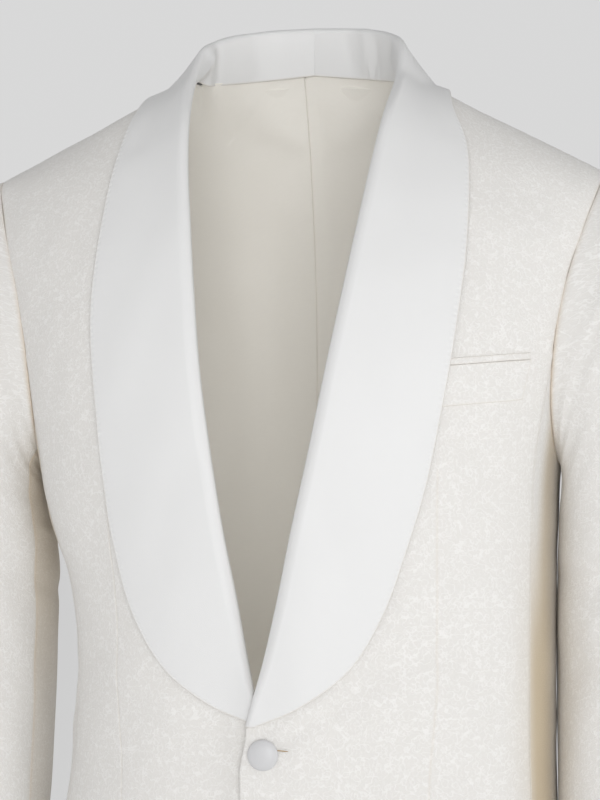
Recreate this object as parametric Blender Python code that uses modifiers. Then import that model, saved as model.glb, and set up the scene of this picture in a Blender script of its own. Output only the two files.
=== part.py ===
"""Shawl-collar dinner jacket, filled out as worn, with nothing inside it.

Metres. +X is the wearer's left, -Y the front, +Z up. The origin lies between the side-neck points, where the
wearer's shoulders carry the jacket. Each piece of cloth is an open surface on one body form, with Solidify."""

import math

import bmesh
import bpy
import numpy as np
from mathutils import Matrix, Vector

# ------------------------------------------------------------------ cloth
CLOTH = 0.0020          # canvassed body cloth
SATIN = 0.0018          # shawl facing
LINING = 0.0010
LINING_SINK = 0.0024    # lining's middle behind the back's middle
PLEAT = 0.009           # the lining's centre seam lies to the wearer's right, by its pleat
TRIM = 0.0014           # pocket welts and flap
SEAM = 0.0003           # gap left at every seam
CENTRE_GAP = 0.0004     # the back's centre seam, on each side of the middle
SIDES = ((1, "left"), (-1, "right"))

# ------------------------------------------------------------------ body form
CHEST = -0.285          # height where the chest ends and the shoulder arch starts
HEM = -0.750
BODICE_TOP = -0.213     # height at the roll line of the row that meets the side body's top
RING_POWER = 2.4        # squareness of a level section
ARCH_POWER = 1.9        # squareness of the shoulder arch seen from the side

# height, half width, front depth, back depth
LEVELS = np.array([
    (-0.760, 0.2020, 0.1300, 0.1180),
    (-0.650, 0.1935, 0.1290, 0.1160),
    (-0.560, 0.1830, 0.1290, 0.1010),
    (-0.490, 0.1768, 0.1300, 0.0900),
    (-0.440, 0.1768, 0.1320, 0.0910),
    (-0.395, 0.1815, 0.1350, 0.0980),
    (-0.345, 0.1905, 0.1375, 0.1080),
    (-0.285, 0.1990, 0.1385, 0.1170),
    (-0.240, 0.2073, 0.1385, 0.1220),
    (-0.180, 0.2215, 0.1370, 0.1250),
    (-0.120, 0.2420, 0.1350, 0.1245),
    (-0.060, 0.2640, 0.1320, 0.1220),
    (0.060, 0.3000, 0.1280, 0.1200),
])

# As worn the sides differ: height, how far the left side hangs out, and the right side is drawn in
HANG = np.array([
    (-0.760, 0.0000, 0.0000),
    (-0.700, 0.0012, 0.0005),
    (-0.636, 0.0055, 0.0018),
    (-0.600, 0.0082, 0.0032),
    (-0.563, 0.0110, 0.0054),
    (-0.525, 0.0141, 0.0078),
    (-0.486, 0.0166, 0.0084),
    (-0.447, 0.0168, 0.0098),
    (-0.413, 0.0141, 0.0104),
    (-0.383, 0.0101, 0.0094),
    (-0.359, 0.0059, 0.0056),
    (-0.338, 0.0033, 0.0022),
    (-0.318, 0.0012, 0.0006),
    (-0.290, 0.0000, 0.0000),
])

# distance from the centre, height of the shoulder ridge
RIDGE = np.array([
    (0.000, 0.0610),
    (0.040, 0.0340),
    (0.060, 0.0140),
    (0.080, -0.0080),
    (0.120, -0.0285),
    (0.160, -0.0490),
    (0.200, -0.0690),
    (0.240, -0.0890),
])

# ------------------------------------------------------------------ seams
TIP = 0.232             # shoulder tip from the centre
NECK_POINT = 0.0825
BACK_NECK_TURN = 1.387  # how far past the ridge the back neck seam dips
FRONT_SEAM = 67.0       # side-body seams, degrees round from centre front
BACK_SEAM = 115.0
RIDGE_GAP = 0.0054      # turn left out on each side of the shoulder seam
ARMPIT = -0.300
ARMHOLE_SPREAD = 2.58
ARMHOLE_ROUND = 0.6
ARMHOLE_FRONT = 62.0
ARMHOLE_BACK = 120.0

# ------------------------------------------------------------------ closing
EDGE = 0.0175           # front edges past the centre line
BREAK = -0.4865         # where the lapels end
LIFT_OVER = 0.0052      # left front stands out over the right one
SINK_UNDER = 0.0042
QUARTER = 0.085         # radius of the rounded quarters
BUTTON_AT = (0.0, -0.5043)
BUTTON_RADIUS = 0.0112
BUTTON_HEIGHT = 0.0062

# ------------------------------------------------------------------ largest folds
# from x, height; to x, height; half width; how far it stands out (or sinks in)
FRONT_FOLDS = np.array([
    (0.040, -0.488, 0.118, -0.452, 0.015, 0.0018),
    (0.042, -0.528, 0.126, -0.512, 0.017, -0.0017),
    (0.128, -0.400, 0.140, -0.330, 0.016, -0.0014),
])
BACK_FOLDS = np.array([
    (0.030, -0.462, 0.118, -0.440, 0.020, -0.0026),
    (0.040, -0.512, 0.108, -0.500, 0.019, 0.0018),
    (0.128, -0.300, 0.092, -0.200, 0.018, 0.0024),
])
# share of the way down the sleeve, degrees round; half length, half width in degrees; share of the radius
SLEEVE_FOLDS = np.array([
    (0.545, 112.0, 0.030, 40.0, -0.070),
    (0.605, 84.0, 0.026, 46.0, 0.040),
    (0.660, 122.0, 0.030, 38.0, -0.060),
    (0.250, 62.0, 0.060, 18.0, -0.035),
    (0.610, -62.0, 0.040, 34.0, -0.035),
])

# ------------------------------------------------------------------ shawl
ROLL = 0.0034           # radius of the rolled fold
REST = 0.0042           # the lapel's middle above the chest
# Back half of the collar, from the centre back: roll line, outer edge, foot of the stand
NECK_ROLL = np.array([
    (0.00025, 0.0600, 0.0365),
    (0.0360, 0.0540, 0.0345),
    (0.0620, 0.0335, 0.0280),
    (0.0755, 0.0080, 0.0160),
])
NECK_EDGE = np.array([
    (0.00025, 0.0760, -0.0090),
    (0.0440, 0.0690, -0.0120),
    (0.0860, 0.0430, -0.0190),
    (0.1070, 0.0120, -0.0225),
])
NECK_FOOT = np.array([
    (0.00025, 0.0600, 0.0000),
    (0.0370, 0.0545, -0.0040),
    (0.0590, 0.0365, -0.0080),
    (0.0735, 0.0115, -0.0120),
])
# Lapels: roll line x, height, outer edge x, height, width of the facing behind
LEFT_LAPEL = np.array([
    (0.0780, -0.0120, 0.1205, -0.0400, 0.003),
    (0.0750, -0.0450, 0.1345, -0.0700, 0.014),
    (0.0705, -0.0800, 0.1390, -0.1080, 0.025),
    (0.0640, -0.1250, 0.1388, -0.1500, 0.028),
    (0.0560, -0.1720, 0.1338, -0.1980, 0.026),
    (0.0450, -0.2300, 0.1243, -0.2580, 0.024),
    (0.0330, -0.2900, 0.1137, -0.3120, 0.022),
    (0.0205, -0.3460, 0.1010, -0.3560, 0.019),
    (0.0106, -0.3960, 0.0850, -0.4020, 0.015),
    (0.0008, -0.4380, 0.0613, -0.4430, 0.010),
    (-0.0078, -0.4680, 0.0270, -0.4700, 0.007),
    (-0.0125, -0.4850, -0.0060, -0.4850, 0.005),
])
RIGHT_LAPEL = np.array([
    (0.0760, -0.0120, 0.1170, -0.0400, 0.005),
    (0.0710, -0.0450, 0.1230, -0.0750, 0.016),
    (0.0665, -0.0800, 0.1268, -0.1100, 0.025),
    (0.0600, -0.1250, 0.1300, -0.1500, 0.028),
    (0.0543, -0.1720, 0.1312, -0.1980, 0.026),
    (0.0478, -0.2300, 0.1253, -0.2580, 0.024),
    (0.0392, -0.2900, 0.1195, -0.3120, 0.022),
    (0.0300, -0.3460, 0.1120, -0.3560, 0.019),
    (0.0208, -0.3960, 0.0990, -0.4020, 0.015),
    (0.0138, -0.4380, 0.0760, -0.4430, 0.010),
    (0.0076, -0.4680, 0.0430, -0.4700, 0.007),
    (0.0020, -0.4820, 0.0100, -0.4840, 0.005),
])

# ------------------------------------------------------------------ sleeves
SLEEVE_POWER = 2.2
FRONT_SLEEVE_SEAM = 154.0   # degrees round from the outer side, front first
BACK_SLEEVE_SEAM = 256.0
LEFT_SEAM_TURN = 13.0       # the left front sleeve seam lies this much further round
SLEEVE_GAP = 0.34           # degrees left out on each side of a sleeve seam
# outer profile x, z; inner profile x, z; middle y; half depth
SLEEVE = np.array([
    (0.2335, -0.0850, 0.2020, -0.3010, -0.0045, 0.0630),
    (0.2560, -0.0985, 0.2022, -0.3055, -0.0045, 0.0655),
    (0.2725, -0.1260, 0.2018, -0.3110, -0.0040, 0.0680),
    (0.2845, -0.1680, 0.2008, -0.3190, -0.0030, 0.0690),
    (0.2930, -0.2200, 0.1990, -0.3320, -0.0020, 0.0685),
    (0.2985, -0.2800, 0.1962, -0.3530, 0.0000, 0.0665),
    (0.3010, -0.3500, 0.1930, -0.3880, 0.0020, 0.0640),
    (0.3010, -0.4250, 0.1925, -0.4400, 0.0040, 0.0610),
    (0.2990, -0.5050, 0.1940, -0.5080, 0.0010, 0.0575),
    (0.2975, -0.5800, 0.1970, -0.5760, -0.0080, 0.0540),
    (0.2970, -0.6500, 0.2010, -0.6420, -0.0190, 0.0510),
    (0.2960, -0.7250, 0.2060, -0.7150, -0.0300, 0.0490),
])
CAP_SHARE = 0.42            # share of the sleeve over which the armhole's shape fades out
SLEEVE_OFF = 0.0018         # sleeve's middle beyond the armhole's middle
UNDERARM_LIFT = 0.0023      # under the arm the sleeve starts this much above the side body
UNDERARM_TURN = 0.0416      # and turns down clear of it over this share of its length
UNDERARM_OFF = 0.0016
# How the sleeves lie against the waist, as bells over the sleeve:
# degrees round, share of the way down, half widths of the two, how far out and back
LEFT_LEAN = np.array([
    (165.0, 0.62, 55.0, 0.20, 0.0055, 0.0),
    (207.0, 0.64, 26.0, 0.22, -0.0060, 0.014),
])
RIGHT_LEAN = np.array([
    (175.0, 0.70, 55.0, 0.20, 0.0055, 0.0),
])
CUFF_BUTTONS = 4
CUFF_BUTTON_RADIUS = 0.0072
CUFF_BUTTON_HEIGHT = 0.0040

# ------------------------------------------------------------------ pockets
BREAST_IN = 0.098
BREAST_OUT = 0.183
BREAST_TOP = (-0.2265, -0.2190)     # heights at the inner and outer end
BREAST_WELT = 0.0048
BREAST_FLAP = 0.0290
FLAP_CORNER = 0.009
FLAP_TAPER = 0.07
HIP_IN = 0.062
HIP_OUT = 0.166
HIP_TOP = (-0.585, -0.578)
HIP_WELT = 0.0100


def through(knots, values, at):
    """Cubic curve through the values at their knots, with slopes taken from the neighbours."""
    knots = np.asarray(knots, float)
    values = np.asarray(values, float)
    at = np.asarray(at, float)
    slopes = np.gradient(values, knots, axis=0)
    low = np.clip(np.searchsorted(knots, at, side="right") - 1, 0, len(knots) - 2)
    span = knots[low + 1] - knots[low]
    t = (at - knots[low]) / span
    if values.ndim > 1:
        t = t[..., None]
        span = span[..., None]
    rise = values[low + 1] - values[low]
    start = slopes[low] * span
    end = slopes[low + 1] * span
    return values[low] + start * t + (3 * rise - 2 * start - end) * t**2 + (start + end - 2 * rise) * t**3


def ease(value, start, end):
    """0 at start, 1 at end, level at both."""
    t = np.clip((np.asarray(value, float) - start) / (end - start), 0, 1)
    return t * t * (3 - 2 * t)


def ridge(x):
    return through(RIDGE[:, 0], RIDGE[:, 1], np.clip(np.abs(x), 0, 0.24))


def level(z):
    """Half width, front depth and back depth at a height."""
    row = through(LEVELS[:, 0], LEVELS[:, 1:], np.clip(z, -0.76, 0.06))
    return row[..., 0], row[..., 1], row[..., 2]


def share(x, half_width):
    """Depth of a level section at x, as a share of its full depth."""
    inside = np.clip(1 - np.abs(x / half_width) ** RING_POWER, 1e-9, 1)
    return inside ** (1 / RING_POWER)


def form(x, turn):
    """Point of the body form. turn is 0 at the chest's front, 1 on the shoulder ridge and 2 at the back of
    the chest; below the chest it goes on in metres."""
    x, turn = np.broadcast_arrays(np.asarray(x, float), np.asarray(turn, float))
    swing = np.clip(turn, 0, 2) * math.pi / 2
    below = np.clip(-turn, 0, None) + np.clip(turn - 2, 0, None)
    z = CHEST + (ridge(x) - CHEST) * np.sin(swing) - below
    half_width, front, back = level(z)
    lean = np.cos(swing)
    depth = np.where(lean > 0, -front, back) * np.abs(lean) ** (2 / ARCH_POWER)
    return np.stack([x, depth * share(x, half_width), z], -1)


def turn_at(x, z):
    """The front turn of the form at x and height z; 2 minus it is the back one."""
    rise = (z - CHEST) / (ridge(x) - CHEST)
    return np.where(z > CHEST, np.arcsin(np.clip(rise, 0, 1)) * 2 / math.pi, z - CHEST)


def outward(x, turn):
    """Unit normal of the body form, pointing out."""
    step = 1e-4
    across = form(x + step, turn) - form(x - step, turn)
    along = form(x, turn + step) - form(x, turn - step)
    normal = np.cross(across, along)
    return normal / np.linalg.norm(normal, axis=-1, keepdims=True)


def ring(degrees, z):
    """Point of the form at a height, by its angle round from the centre front."""
    angle = np.radians(degrees)
    half_width, front, back = level(z)
    rise = np.clip((z - CHEST) / (ridge(np.full_like(z, 0.2)) - CHEST), 0, 1)
    reach = (1 - rise**2) ** (1 / ARCH_POWER)
    cosine = np.cos(angle)
    x = half_width * np.sin(angle) ** (2 / RING_POWER)
    y = np.where(cosine > 0, -front, back) * np.abs(cosine) ** (2 / RING_POWER) * reach
    return np.stack([x, y, z], -1)


def ring_x(degrees, z):
    return level(z)[0] * np.sin(np.radians(degrees)) ** (2 / RING_POWER)


def armhole_angle(z, back=False):
    """Where the armhole lies on a level section. It closes to the side with a round bottom at the armpit."""
    limit = abs(math.cos(math.radians(ARMHOLE_BACK if back else ARMHOLE_FRONT)))
    spread = ARMHOLE_SPREAD / limit * np.clip(z - ARMPIT, 0, None) ** ARMHOLE_ROUND
    angle = np.degrees(np.arccos(limit * np.tanh(spread)))
    return 180 - angle if back else angle


def armhole_height(degrees, back=False):
    """Height of the armhole at an angle round the body, the inverse of armhole_angle."""
    limit = abs(math.cos(math.radians(ARMHOLE_BACK if back else ARMHOLE_FRONT)))
    spread = np.arctanh(np.abs(np.cos(np.radians(degrees))) / limit) * limit / ARMHOLE_SPREAD
    return ARMPIT + spread ** (1 / ARMHOLE_ROUND)


def armhole_x(z, back=False):
    """Distance of the armhole from the centre, eased to the shoulder tip at the ridge."""
    x = ring_x(armhole_angle(z, back), z)
    top = ridge(TIP)
    return x + (TIP - ring_x(armhole_angle(top, back), top)) * ease(z, -0.16, top)


def folded(x, z, folds):
    """Height of soft folds, each a ridge or a trough along a short line that dies away past its ends."""
    height = np.zeros(np.broadcast(x, z).shape)
    for from_x, from_z, to_x, to_z, half_width, rise in folds:
        run_x, run_z = to_x - from_x, to_z - from_z
        length = math.hypot(run_x, run_z)
        along = ((x - from_x) * run_x + (z - from_z) * run_z) / length
        off = ((x - from_x) * run_z - (z - from_z) * run_x) / length
        beyond = along - np.clip(along, 0, length)
        height = height + rise * np.exp(-((off / half_width) ** 2 + (beyond / half_width) ** 2))
    return height


def closing(x, z, side):
    """How far a front stands off the form: out (left) or in (right) where they overlap, and its folds."""
    depth = LIFT_OVER if side > 0 else -SINK_UNDER
    overlap = depth * (1 - ease(x, 0.018, 0.075)) * (1 - ease(z, -0.43, -0.34))
    return overlap + folded(x, z, FRONT_FOLDS)


def front_edge(z, lapel):
    """Inner edge of a front: behind the roll line, then the front edge and the rounded quarter."""
    roll = through(-lapel[:, 1], lapel[:, 0], np.clip(-z, 0.012, 0.485)) + ROLL + 0.003
    straight = -EDGE + 0.005 * ease(z, -0.52, BREAK)
    edge = roll + (straight - roll) * ease(-z, 0.001 - BREAK, 0.006 - BREAK)
    fall = np.clip((HEM + QUARTER - z) / QUARTER, 0, 1)
    return edge + (QUARTER + 0.010) * (1 - np.sqrt(1 - fall**2)) + 0.010 * ease(-z, 0.56, 0.75)


def patch(inner, outer, columns, start=0.0, end=1.0):
    """Grid of x and turn between two edges given as rows of x and turn."""
    v = np.linspace(start, end, columns)[None, :, None]
    return inner[:, None, :] * (1 - v) + outer[:, None, :] * v


def armhole_rows(turns, back=False):
    """x on the armhole at each turn, from the shoulder tip down."""
    z = ARMPIT + (ridge(TIP) - ARMPIT) * np.linspace(0, 1, 400) ** 0.5
    x = armhole_x(z, back)
    return np.interp(turns, turn_at(x, z), x)


def drops():
    """Shares of the way down to the hem where every body panel has a row, with two at the lapels' end."""
    at_break = (BODICE_TOP - (BREAK - 0.001)) / (BODICE_TOP - HEM)
    below_break = at_break + 0.005 / (BODICE_TOP - HEM)
    return np.concatenate([
        np.linspace(0, at_break, 9)[1:], np.linspace(below_break, 0.91, 7), [0.945, 0.972, 0.99, 1.0]])


def front_panel(side):
    lapel = LEFT_LAPEL if side > 0 else RIGHT_LAPEL
    joint_z = float(armhole_height(FRONT_SEAM))
    joint_x = float(ring_x(FRONT_SEAM, joint_z))
    upper_turn = np.linspace(1, float(turn_at(joint_x, joint_z)), 8)
    z = np.linspace(-0.008, -0.30, 400)
    x = front_edge(z, lapel)
    edge_x = np.interp(-upper_turn, -turn_at(x, z), x)
    edge_x[0] = NECK_POINT
    upper_in = np.stack([edge_x, upper_turn], -1)
    upper_out = np.stack([armhole_rows(upper_turn), upper_turn], -1)
    drop = drops()
    in_z = BODICE_TOP + (HEM - BODICE_TOP) * drop
    out_z = joint_z + (HEM - joint_z) * drop
    in_x = front_edge(in_z, lapel)
    out_x = ring_x(FRONT_SEAM, out_z)
    lower_in = np.stack([in_x, turn_at(in_x, in_z)], -1)
    lower_out = np.stack([out_x, turn_at(out_x, out_z)], -1)
    gap = SEAM / 2 / 0.15
    grid = patch(np.concatenate([upper_in, lower_in]), np.concatenate([upper_out, lower_out]), 11, 0, 1 - gap)
    grid[0, :, 1] -= RIDGE_GAP
    x, turn = grid[..., 0], grid[..., 1]
    points = form(x, turn)
    return points + outward(x, turn) * closing(x, points[..., 2], side)[..., None]


def back_panel(sink=0.0, first=CENTRE_GAP, neck=NECK_POINT):
    """Back half, from the centre-back seam to the armhole and the side-body seam."""
    joint_z = float(armhole_height(BACK_SEAM, back=True))
    joint_x = float(ring_x(BACK_SEAM, joint_z))
    joint_turn = 2 - float(turn_at(joint_x, joint_z))
    lean = np.linspace(0, math.pi / 2, 5)
    neck_turn = 1 + (BACK_NECK_TURN - 1) * np.sin(lean)
    upper_turn = np.concatenate([neck_turn, np.linspace(BACK_NECK_TURN, joint_turn, 6)[1:]])
    edge_x = np.concatenate([first + (neck - first) * np.cos(lean), np.full(5, first)])
    upper_in = np.stack([edge_x, upper_turn], -1)
    upper_out = np.stack([armhole_rows(2 - upper_turn, back=True), upper_turn], -1)
    drop = drops()
    start_z = form(edge_x[-1], upper_turn[-1])[2]
    in_z = start_z + (HEM - start_z) * drop
    out_z = joint_z + (HEM - joint_z) * drop
    out_x = ring_x(BACK_SEAM, out_z)
    lower_in = np.stack([np.full_like(in_z, first), 2 - turn_at(first, in_z)], -1)
    lower_out = np.stack([out_x, 2 - turn_at(out_x, out_z)], -1)
    gap = SEAM / 2 / 0.14
    grid = patch(np.concatenate([upper_in, lower_in]), np.concatenate([upper_out, lower_out]), 9, 0, 1 - gap)
    grid[0, :, 1] += RIDGE_GAP
    x, turn = grid[..., 0], grid[..., 1]
    points = form(x, turn)
    return points + outward(x, turn) * (folded(np.abs(x), points[..., 2], BACK_FOLDS) - sink)[..., None]


def drawn_in(points, part):
    """The same sheet with its armhole side and hem drawn in by part of a cell, and its neck by less."""
    points = points.copy()
    points[:, -1] += (points[:, -2] - points[:, -1]) * part * 2
    points[-1] += (points[-2] - points[-1]) * part * 5
    points[0] += (points[1] - points[0]) * part
    return points


def side_panel():
    """Side body from the front seam round to the back seam, under the armhole."""
    to_armpit = np.linspace(FRONT_SEAM, 90, 5)
    from_armpit = np.linspace(90, BACK_SEAM, 5)[1:]
    top_angle = np.concatenate([to_armpit, from_armpit])
    top_z = np.concatenate([armhole_height(to_armpit), armhole_height(from_armpit, back=True)])
    hem_angle = np.linspace(FRONT_SEAM, BACK_SEAM, 9)
    drop = np.concatenate([[0.0], drops()])
    angle = top_angle + (hem_angle - top_angle) * ease(drop, 0, 0.5)[:, None]
    z = top_z - 0.0006 + (HEM + 0.0006 - top_z) * drop[:, None]
    trim = SEAM / 1.7 / 0.11 * (BACK_SEAM - FRONT_SEAM)
    angle[:, 0] += trim
    angle[:, -1] -= trim
    return ring(angle, z)


def armhole_loop(degrees):
    """Armhole seam by the sleeve's own angle: 0 at the shoulder tip, 90 in front, 180 at the armpit."""
    angle = np.radians(degrees)
    top = float(ridge(TIP))
    z = ARMPIT + (top - ARMPIT) * (1 + np.cos(angle)) / 2
    front = np.sin(angle) >= 0
    x = np.where(front, armhole_x(z), armhole_x(z, back=True))
    turn = turn_at(x, np.minimum(z, ridge(x)))
    return form(x, np.where(front, turn, 2 - turn))


def sleeve(degrees, along, side):
    """Sleeve surface: rings that fan out from the armhole and then go down the arm."""
    degrees, along = np.broadcast_arrays(np.asarray(degrees, float), np.asarray(along, float))
    angle = np.radians(degrees)
    row = through(np.linspace(0, 1, len(SLEEVE)), SLEEVE, along)
    cosine, sine = np.cos(angle), np.sin(angle)
    radial = np.sign(cosine) * np.abs(cosine) ** (2 / SLEEVE_POWER)
    sideways = np.sign(sine) * np.abs(sine) ** (2 / SLEEVE_POWER)
    middle = (row[..., 0:2] + row[..., 2:4]) / 2
    arm = (row[..., 0:2] - row[..., 2:4]) / 2
    swell = np.ones(angle.shape)
    for at, round_at, half_length, half_angle, rise in SLEEVE_FOLDS:
        turned = (degrees - round_at + 180) % 360 - 180
        swell = swell + rise * np.exp(-(((along - at) / half_length) ** 2 + (turned / half_angle) ** 2))
    flat = middle + arm * (radial * swell)[..., None]
    points = np.stack([flat[..., 0], row[..., 4] - row[..., 5] * sideways * swell, flat[..., 1]], -1)
    for round_at, at, half_angle, half_length, sideways_out, back in LEFT_LEAN if side > 0 else RIGHT_LEAN:
        turned = (degrees - round_at + 180) % 360 - 180
        near = np.exp(-(((along - at) / half_length) ** 2 + (turned / half_angle) ** 2))
        points[..., 0] += sideways_out * near
        points[..., 1] += back * near
    first = SLEEVE[0]
    first_flat = (first[0:2] + first[2:4]) / 2 + (first[0:2] - first[2:4]) / 2 * radial[..., None]
    start = np.stack([first_flat[..., 0], first[4] - first[5] * sideways, first_flat[..., 1]], -1)
    under = ease(-cosine, 0.2, 1)
    clear = ease(along, 0, UNDERARM_TURN)
    target = armhole_loop(degrees)
    target[..., 0] += SLEEVE_OFF + UNDERARM_OFF * under * clear
    target[..., 2] += UNDERARM_LIFT * under * (1 - clear)
    fade = (1 - np.clip(along / CAP_SHARE, 0, 1)) ** 2
    return points + (target - start) * fade[..., None]


def sleeve_piece(side, under, columns):
    front = FRONT_SLEEVE_SEAM + (LEFT_SEAM_TURN if side > 0 else 0)
    first, last = (front, BACK_SLEEVE_SEAM) if under else (BACK_SLEEVE_SEAM - 360, front)
    degrees = np.linspace(first + SLEEVE_GAP, last - SLEEVE_GAP, columns)
    along = np.linspace(0, 1, 25)
    return sleeve(degrees[None, :], along[:, None], side)


def on_front(x, z, side, height):
    """Points lying a height above a front."""
    turn = turn_at(x, z)
    return form(x, turn) + outward(x, turn) * (closing(x, z, side) + height)[..., None]


def shawl_lines(side):
    """Roll line, outer edge and inner edge of one half, from the centre back down to the lapel's end."""
    lapel = LEFT_LAPEL if side > 0 else RIGHT_LAPEL
    roll = on_front(lapel[:, 0], lapel[:, 1], side, 0)
    edge = on_front(lapel[:, 2], lapel[:, 3], side, 0)
    inner = on_front(lapel[:, 0] + lapel[:, 4], lapel[:, 1] - 0.2 * lapel[:, 4], side, 0)
    neck_and_chest = ((NECK_ROLL, roll), (NECK_EDGE, edge), (NECK_FOOT, inner))
    return [np.concatenate(line) for line in neck_and_chest]


def clearance(points):
    """Distance of points out from the body form, to first order, and the unit direction out."""

    def field(p):
        x, y, z = p[..., 0], p[..., 1], p[..., 2]
        half_width, front, back = level(z)
        depth = np.where(y < 0, front, back)
        rise = np.clip((z - CHEST) / (ridge(x) - CHEST), 0, None)
        full = share(x, half_width) ** ARCH_POWER
        return np.abs(y / depth) ** ARCH_POWER - full * (1 - rise**2)

    step = 1e-4
    slope = np.stack([(field(points + s) - field(points - s)) / (2 * step) for s in np.eye(3) * step], -1)
    size = np.linalg.norm(slope, axis=-1)
    return field(points) / size, slope / size[..., None]


def lay(points, height):
    """Points lifted off the body form to at least a height."""
    for _ in range(4):
        away, out = clearance(points)
        short = height - away
        lift = (short + np.sqrt(short**2 + 1e-7)) / 2
        points = points + out * lift[..., None]
    return points


def tuck(points, depth):
    """Points pushed inside the body form to at least a depth."""
    for _ in range(4):
        away, out = clearance(points)
        over = away + depth
        push = (over + np.sqrt(over**2 + 1e-7)) / 2
        points = points - out * push[..., None]
    return points


def shawl(side, stations, facing_columns, fold_columns, lapel_columns):
    """One satin half: facing or stand, rolled fold, and lapel or fall, as one profile along the roll."""
    knots = np.linspace(0, 1, len(NECK_ROLL) + len(LEFT_LAPEL))
    at = np.linspace(0, 1, stations)
    roll, edge, inner = (through(knots, line, at) for line in shawl_lines(side))
    tangent = np.gradient(roll, axis=0)
    tangent[0] = (1, 0, 0)
    out_way = edge - roll
    in_way = inner - roll
    out_way /= np.linalg.norm(out_way, axis=-1, keepdims=True)
    in_way /= np.linalg.norm(in_way, axis=-1, keepdims=True)
    down = out_way + in_way
    down /= np.linalg.norm(down, axis=-1, keepdims=True)
    away = np.cross(tangent, down)
    away /= np.linalg.norm(away, axis=-1, keepdims=True)
    narrow = 1 - 0.25 * ease(at, 0.84, 0.95)[:, None]
    rest = REST * (1 - 0.43 * ease(at, 0.84, 0.95)[:, None])
    radius = ROLL * narrow
    centre = roll + down * radius
    on_neck = 1 - ease(at, 0.16, 0.25)[:, None]

    v = np.linspace(0, 1, lapel_columns)[None, :, None]
    start = centre + away * radius
    outer_leg = start[:, None] * (1 - v) + edge[:, None] * v
    spread = closing(outer_leg[..., 0], outer_leg[..., 2], side)
    outer_leg = lay(outer_leg, rest + spread)

    v = np.linspace(1, 0, facing_columns)[None, :, None]
    start = centre - away * radius
    inner_leg = start[:, None] * (1 - v) + inner[:, None] * v
    spread = closing(inner_leg[..., 0], inner_leg[..., 2], side)
    tucked = tuck(inner_leg, CLOTH / 2 + SEAM + SATIN / 2 + 0.0002 - spread)
    inner_leg = inner_leg * on_neck[:, None] + tucked * (1 - on_neck[:, None])

    bend = np.radians(np.linspace(-90, 90, fold_columns + 2)[1:-1])[None, :, None]
    reach = radius[:, None]
    fold = centre[:, None] - down[:, None] * reach * np.cos(bend) + away[:, None] * reach * np.sin(bend)
    return np.concatenate([inner_leg, fold, outer_leg], axis=1)


def band(inner_x, outer_x, top, width, columns, rows, corner=0.0, taper=0.0):
    """Grid of x and z for a strip hung from a slanting line; its outer lower corner may be rounded."""
    u = np.linspace(0, 1, columns)[None, :]
    v = np.linspace(0, 1, rows)[:, None]
    x = inner_x + (outer_x - inner_x) * u * (1 - taper * v)
    top_z = top[0] + (top[1] - top[0]) * u
    from_end = np.clip((corner - (outer_x - x)) / (corner + 1e-9), 0, 1)
    depth = width - corner * (1 - np.sqrt(1 - from_end**2))
    return x, top_z - depth * v


def on_side(points, side):
    """Points as they lie on the wearer's left (1) or right (-1)."""
    return points * np.array([side, 1.0, 1.0])


def on_body(points, side):
    """The same for the body, whose two sides hang differently at the waist."""
    points = points.copy()
    hang = through(HANG[:, 0], HANG[:, 1:], np.clip(points[..., 2], -0.76, -0.29))
    out = hang[..., 0] if side > 0 else -hang[..., 1]
    points[..., 0] += out * ease(points[..., 0], 0.085, 0.180)
    return on_side(points, side)


def finish(name, colour, roughness):
    material = bpy.data.materials.new(name)
    material.use_nodes = True
    shader = material.node_tree.nodes["Principled BSDF"]
    shader.inputs["Base Color"].default_value = (*colour, 1)
    shader.inputs["Roughness"].default_value = roughness
    shader.inputs["Metallic"].default_value = 0
    return material


def cloth(jacket, name, points, thickness, material):
    """A wall of cloth on a grid of points."""
    rows, columns = points.shape[:2]
    grid = bmesh.new()
    bmesh.ops.create_grid(grid, x_segments=columns - 1, y_segments=rows - 1, size=0.5)
    for vertex, point in zip(grid.verts, points.reshape(-1, 3)):
        vertex.co = point
    mesh = bpy.data.meshes.new(name)
    grid.to_mesh(mesh)
    grid.free()
    mesh.shade_smooth()
    mesh.materials.append(material)
    piece = bpy.data.objects.new(name, mesh)
    jacket.objects.link(piece)
    wall = piece.modifiers.new("Wall", "SOLIDIFY")
    wall.thickness = thickness
    wall.offset = 0
    return piece


def button(jacket, name, radius, height, place, normal, sides, material):
    """Domed covered button, turned about its own axis, standing on the cloth."""
    bend = np.radians(np.linspace(0, 90, 2 + sides // 5))
    dome_x = radius * np.sin(bend)
    dome_z = height * (0.35 + 0.65 * np.cos(bend))
    outline = [(x, 0, z) for x, z in zip(dome_x, dome_z)]
    outline += [(radius * 0.96, 0, height * 0.12), (radius * 0.80, 0, 0), (0, 0, 0)]
    mesh = bpy.data.meshes.new(name)
    mesh.from_pydata(outline, [(i, i + 1) for i in range(len(outline) - 1)], [])
    mesh.materials.append(material)
    piece = bpy.data.objects.new(name, mesh)
    jacket.objects.link(piece)
    turned = piece.modifiers.new("Turned", "SCREW")
    turned.steps = turned.render_steps = sides
    turned.use_merge_vertices = True
    turned.merge_threshold = 0.00005
    turned.use_smooth_shade = True
    rotation = Vector((0, 0, 1)).rotation_difference(Vector(normal)).to_matrix().to_4x4()
    piece.matrix_world = Matrix.Translation(Vector(place)) @ rotation
    return piece


def body_pieces(jacket, jacquard, lining):
    for side, word in SIDES:
        cloth(jacket, f"front_{word}", on_body(front_panel(side), side), CLOTH, jacquard)
        cloth(jacket, f"side_{word}", on_body(side_panel(), side), CLOTH, jacquard)
        cloth(jacket, f"back_{word}", on_body(back_panel(), side), CLOTH, jacquard)
        inside = drawn_in(back_panel(LINING_SINK, CENTRE_GAP - side * PLEAT, NECK_POINT + 0.006), 0.12)
        cloth(jacket, f"lining_back_{word}", on_body(inside, side), LINING, lining)


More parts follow.
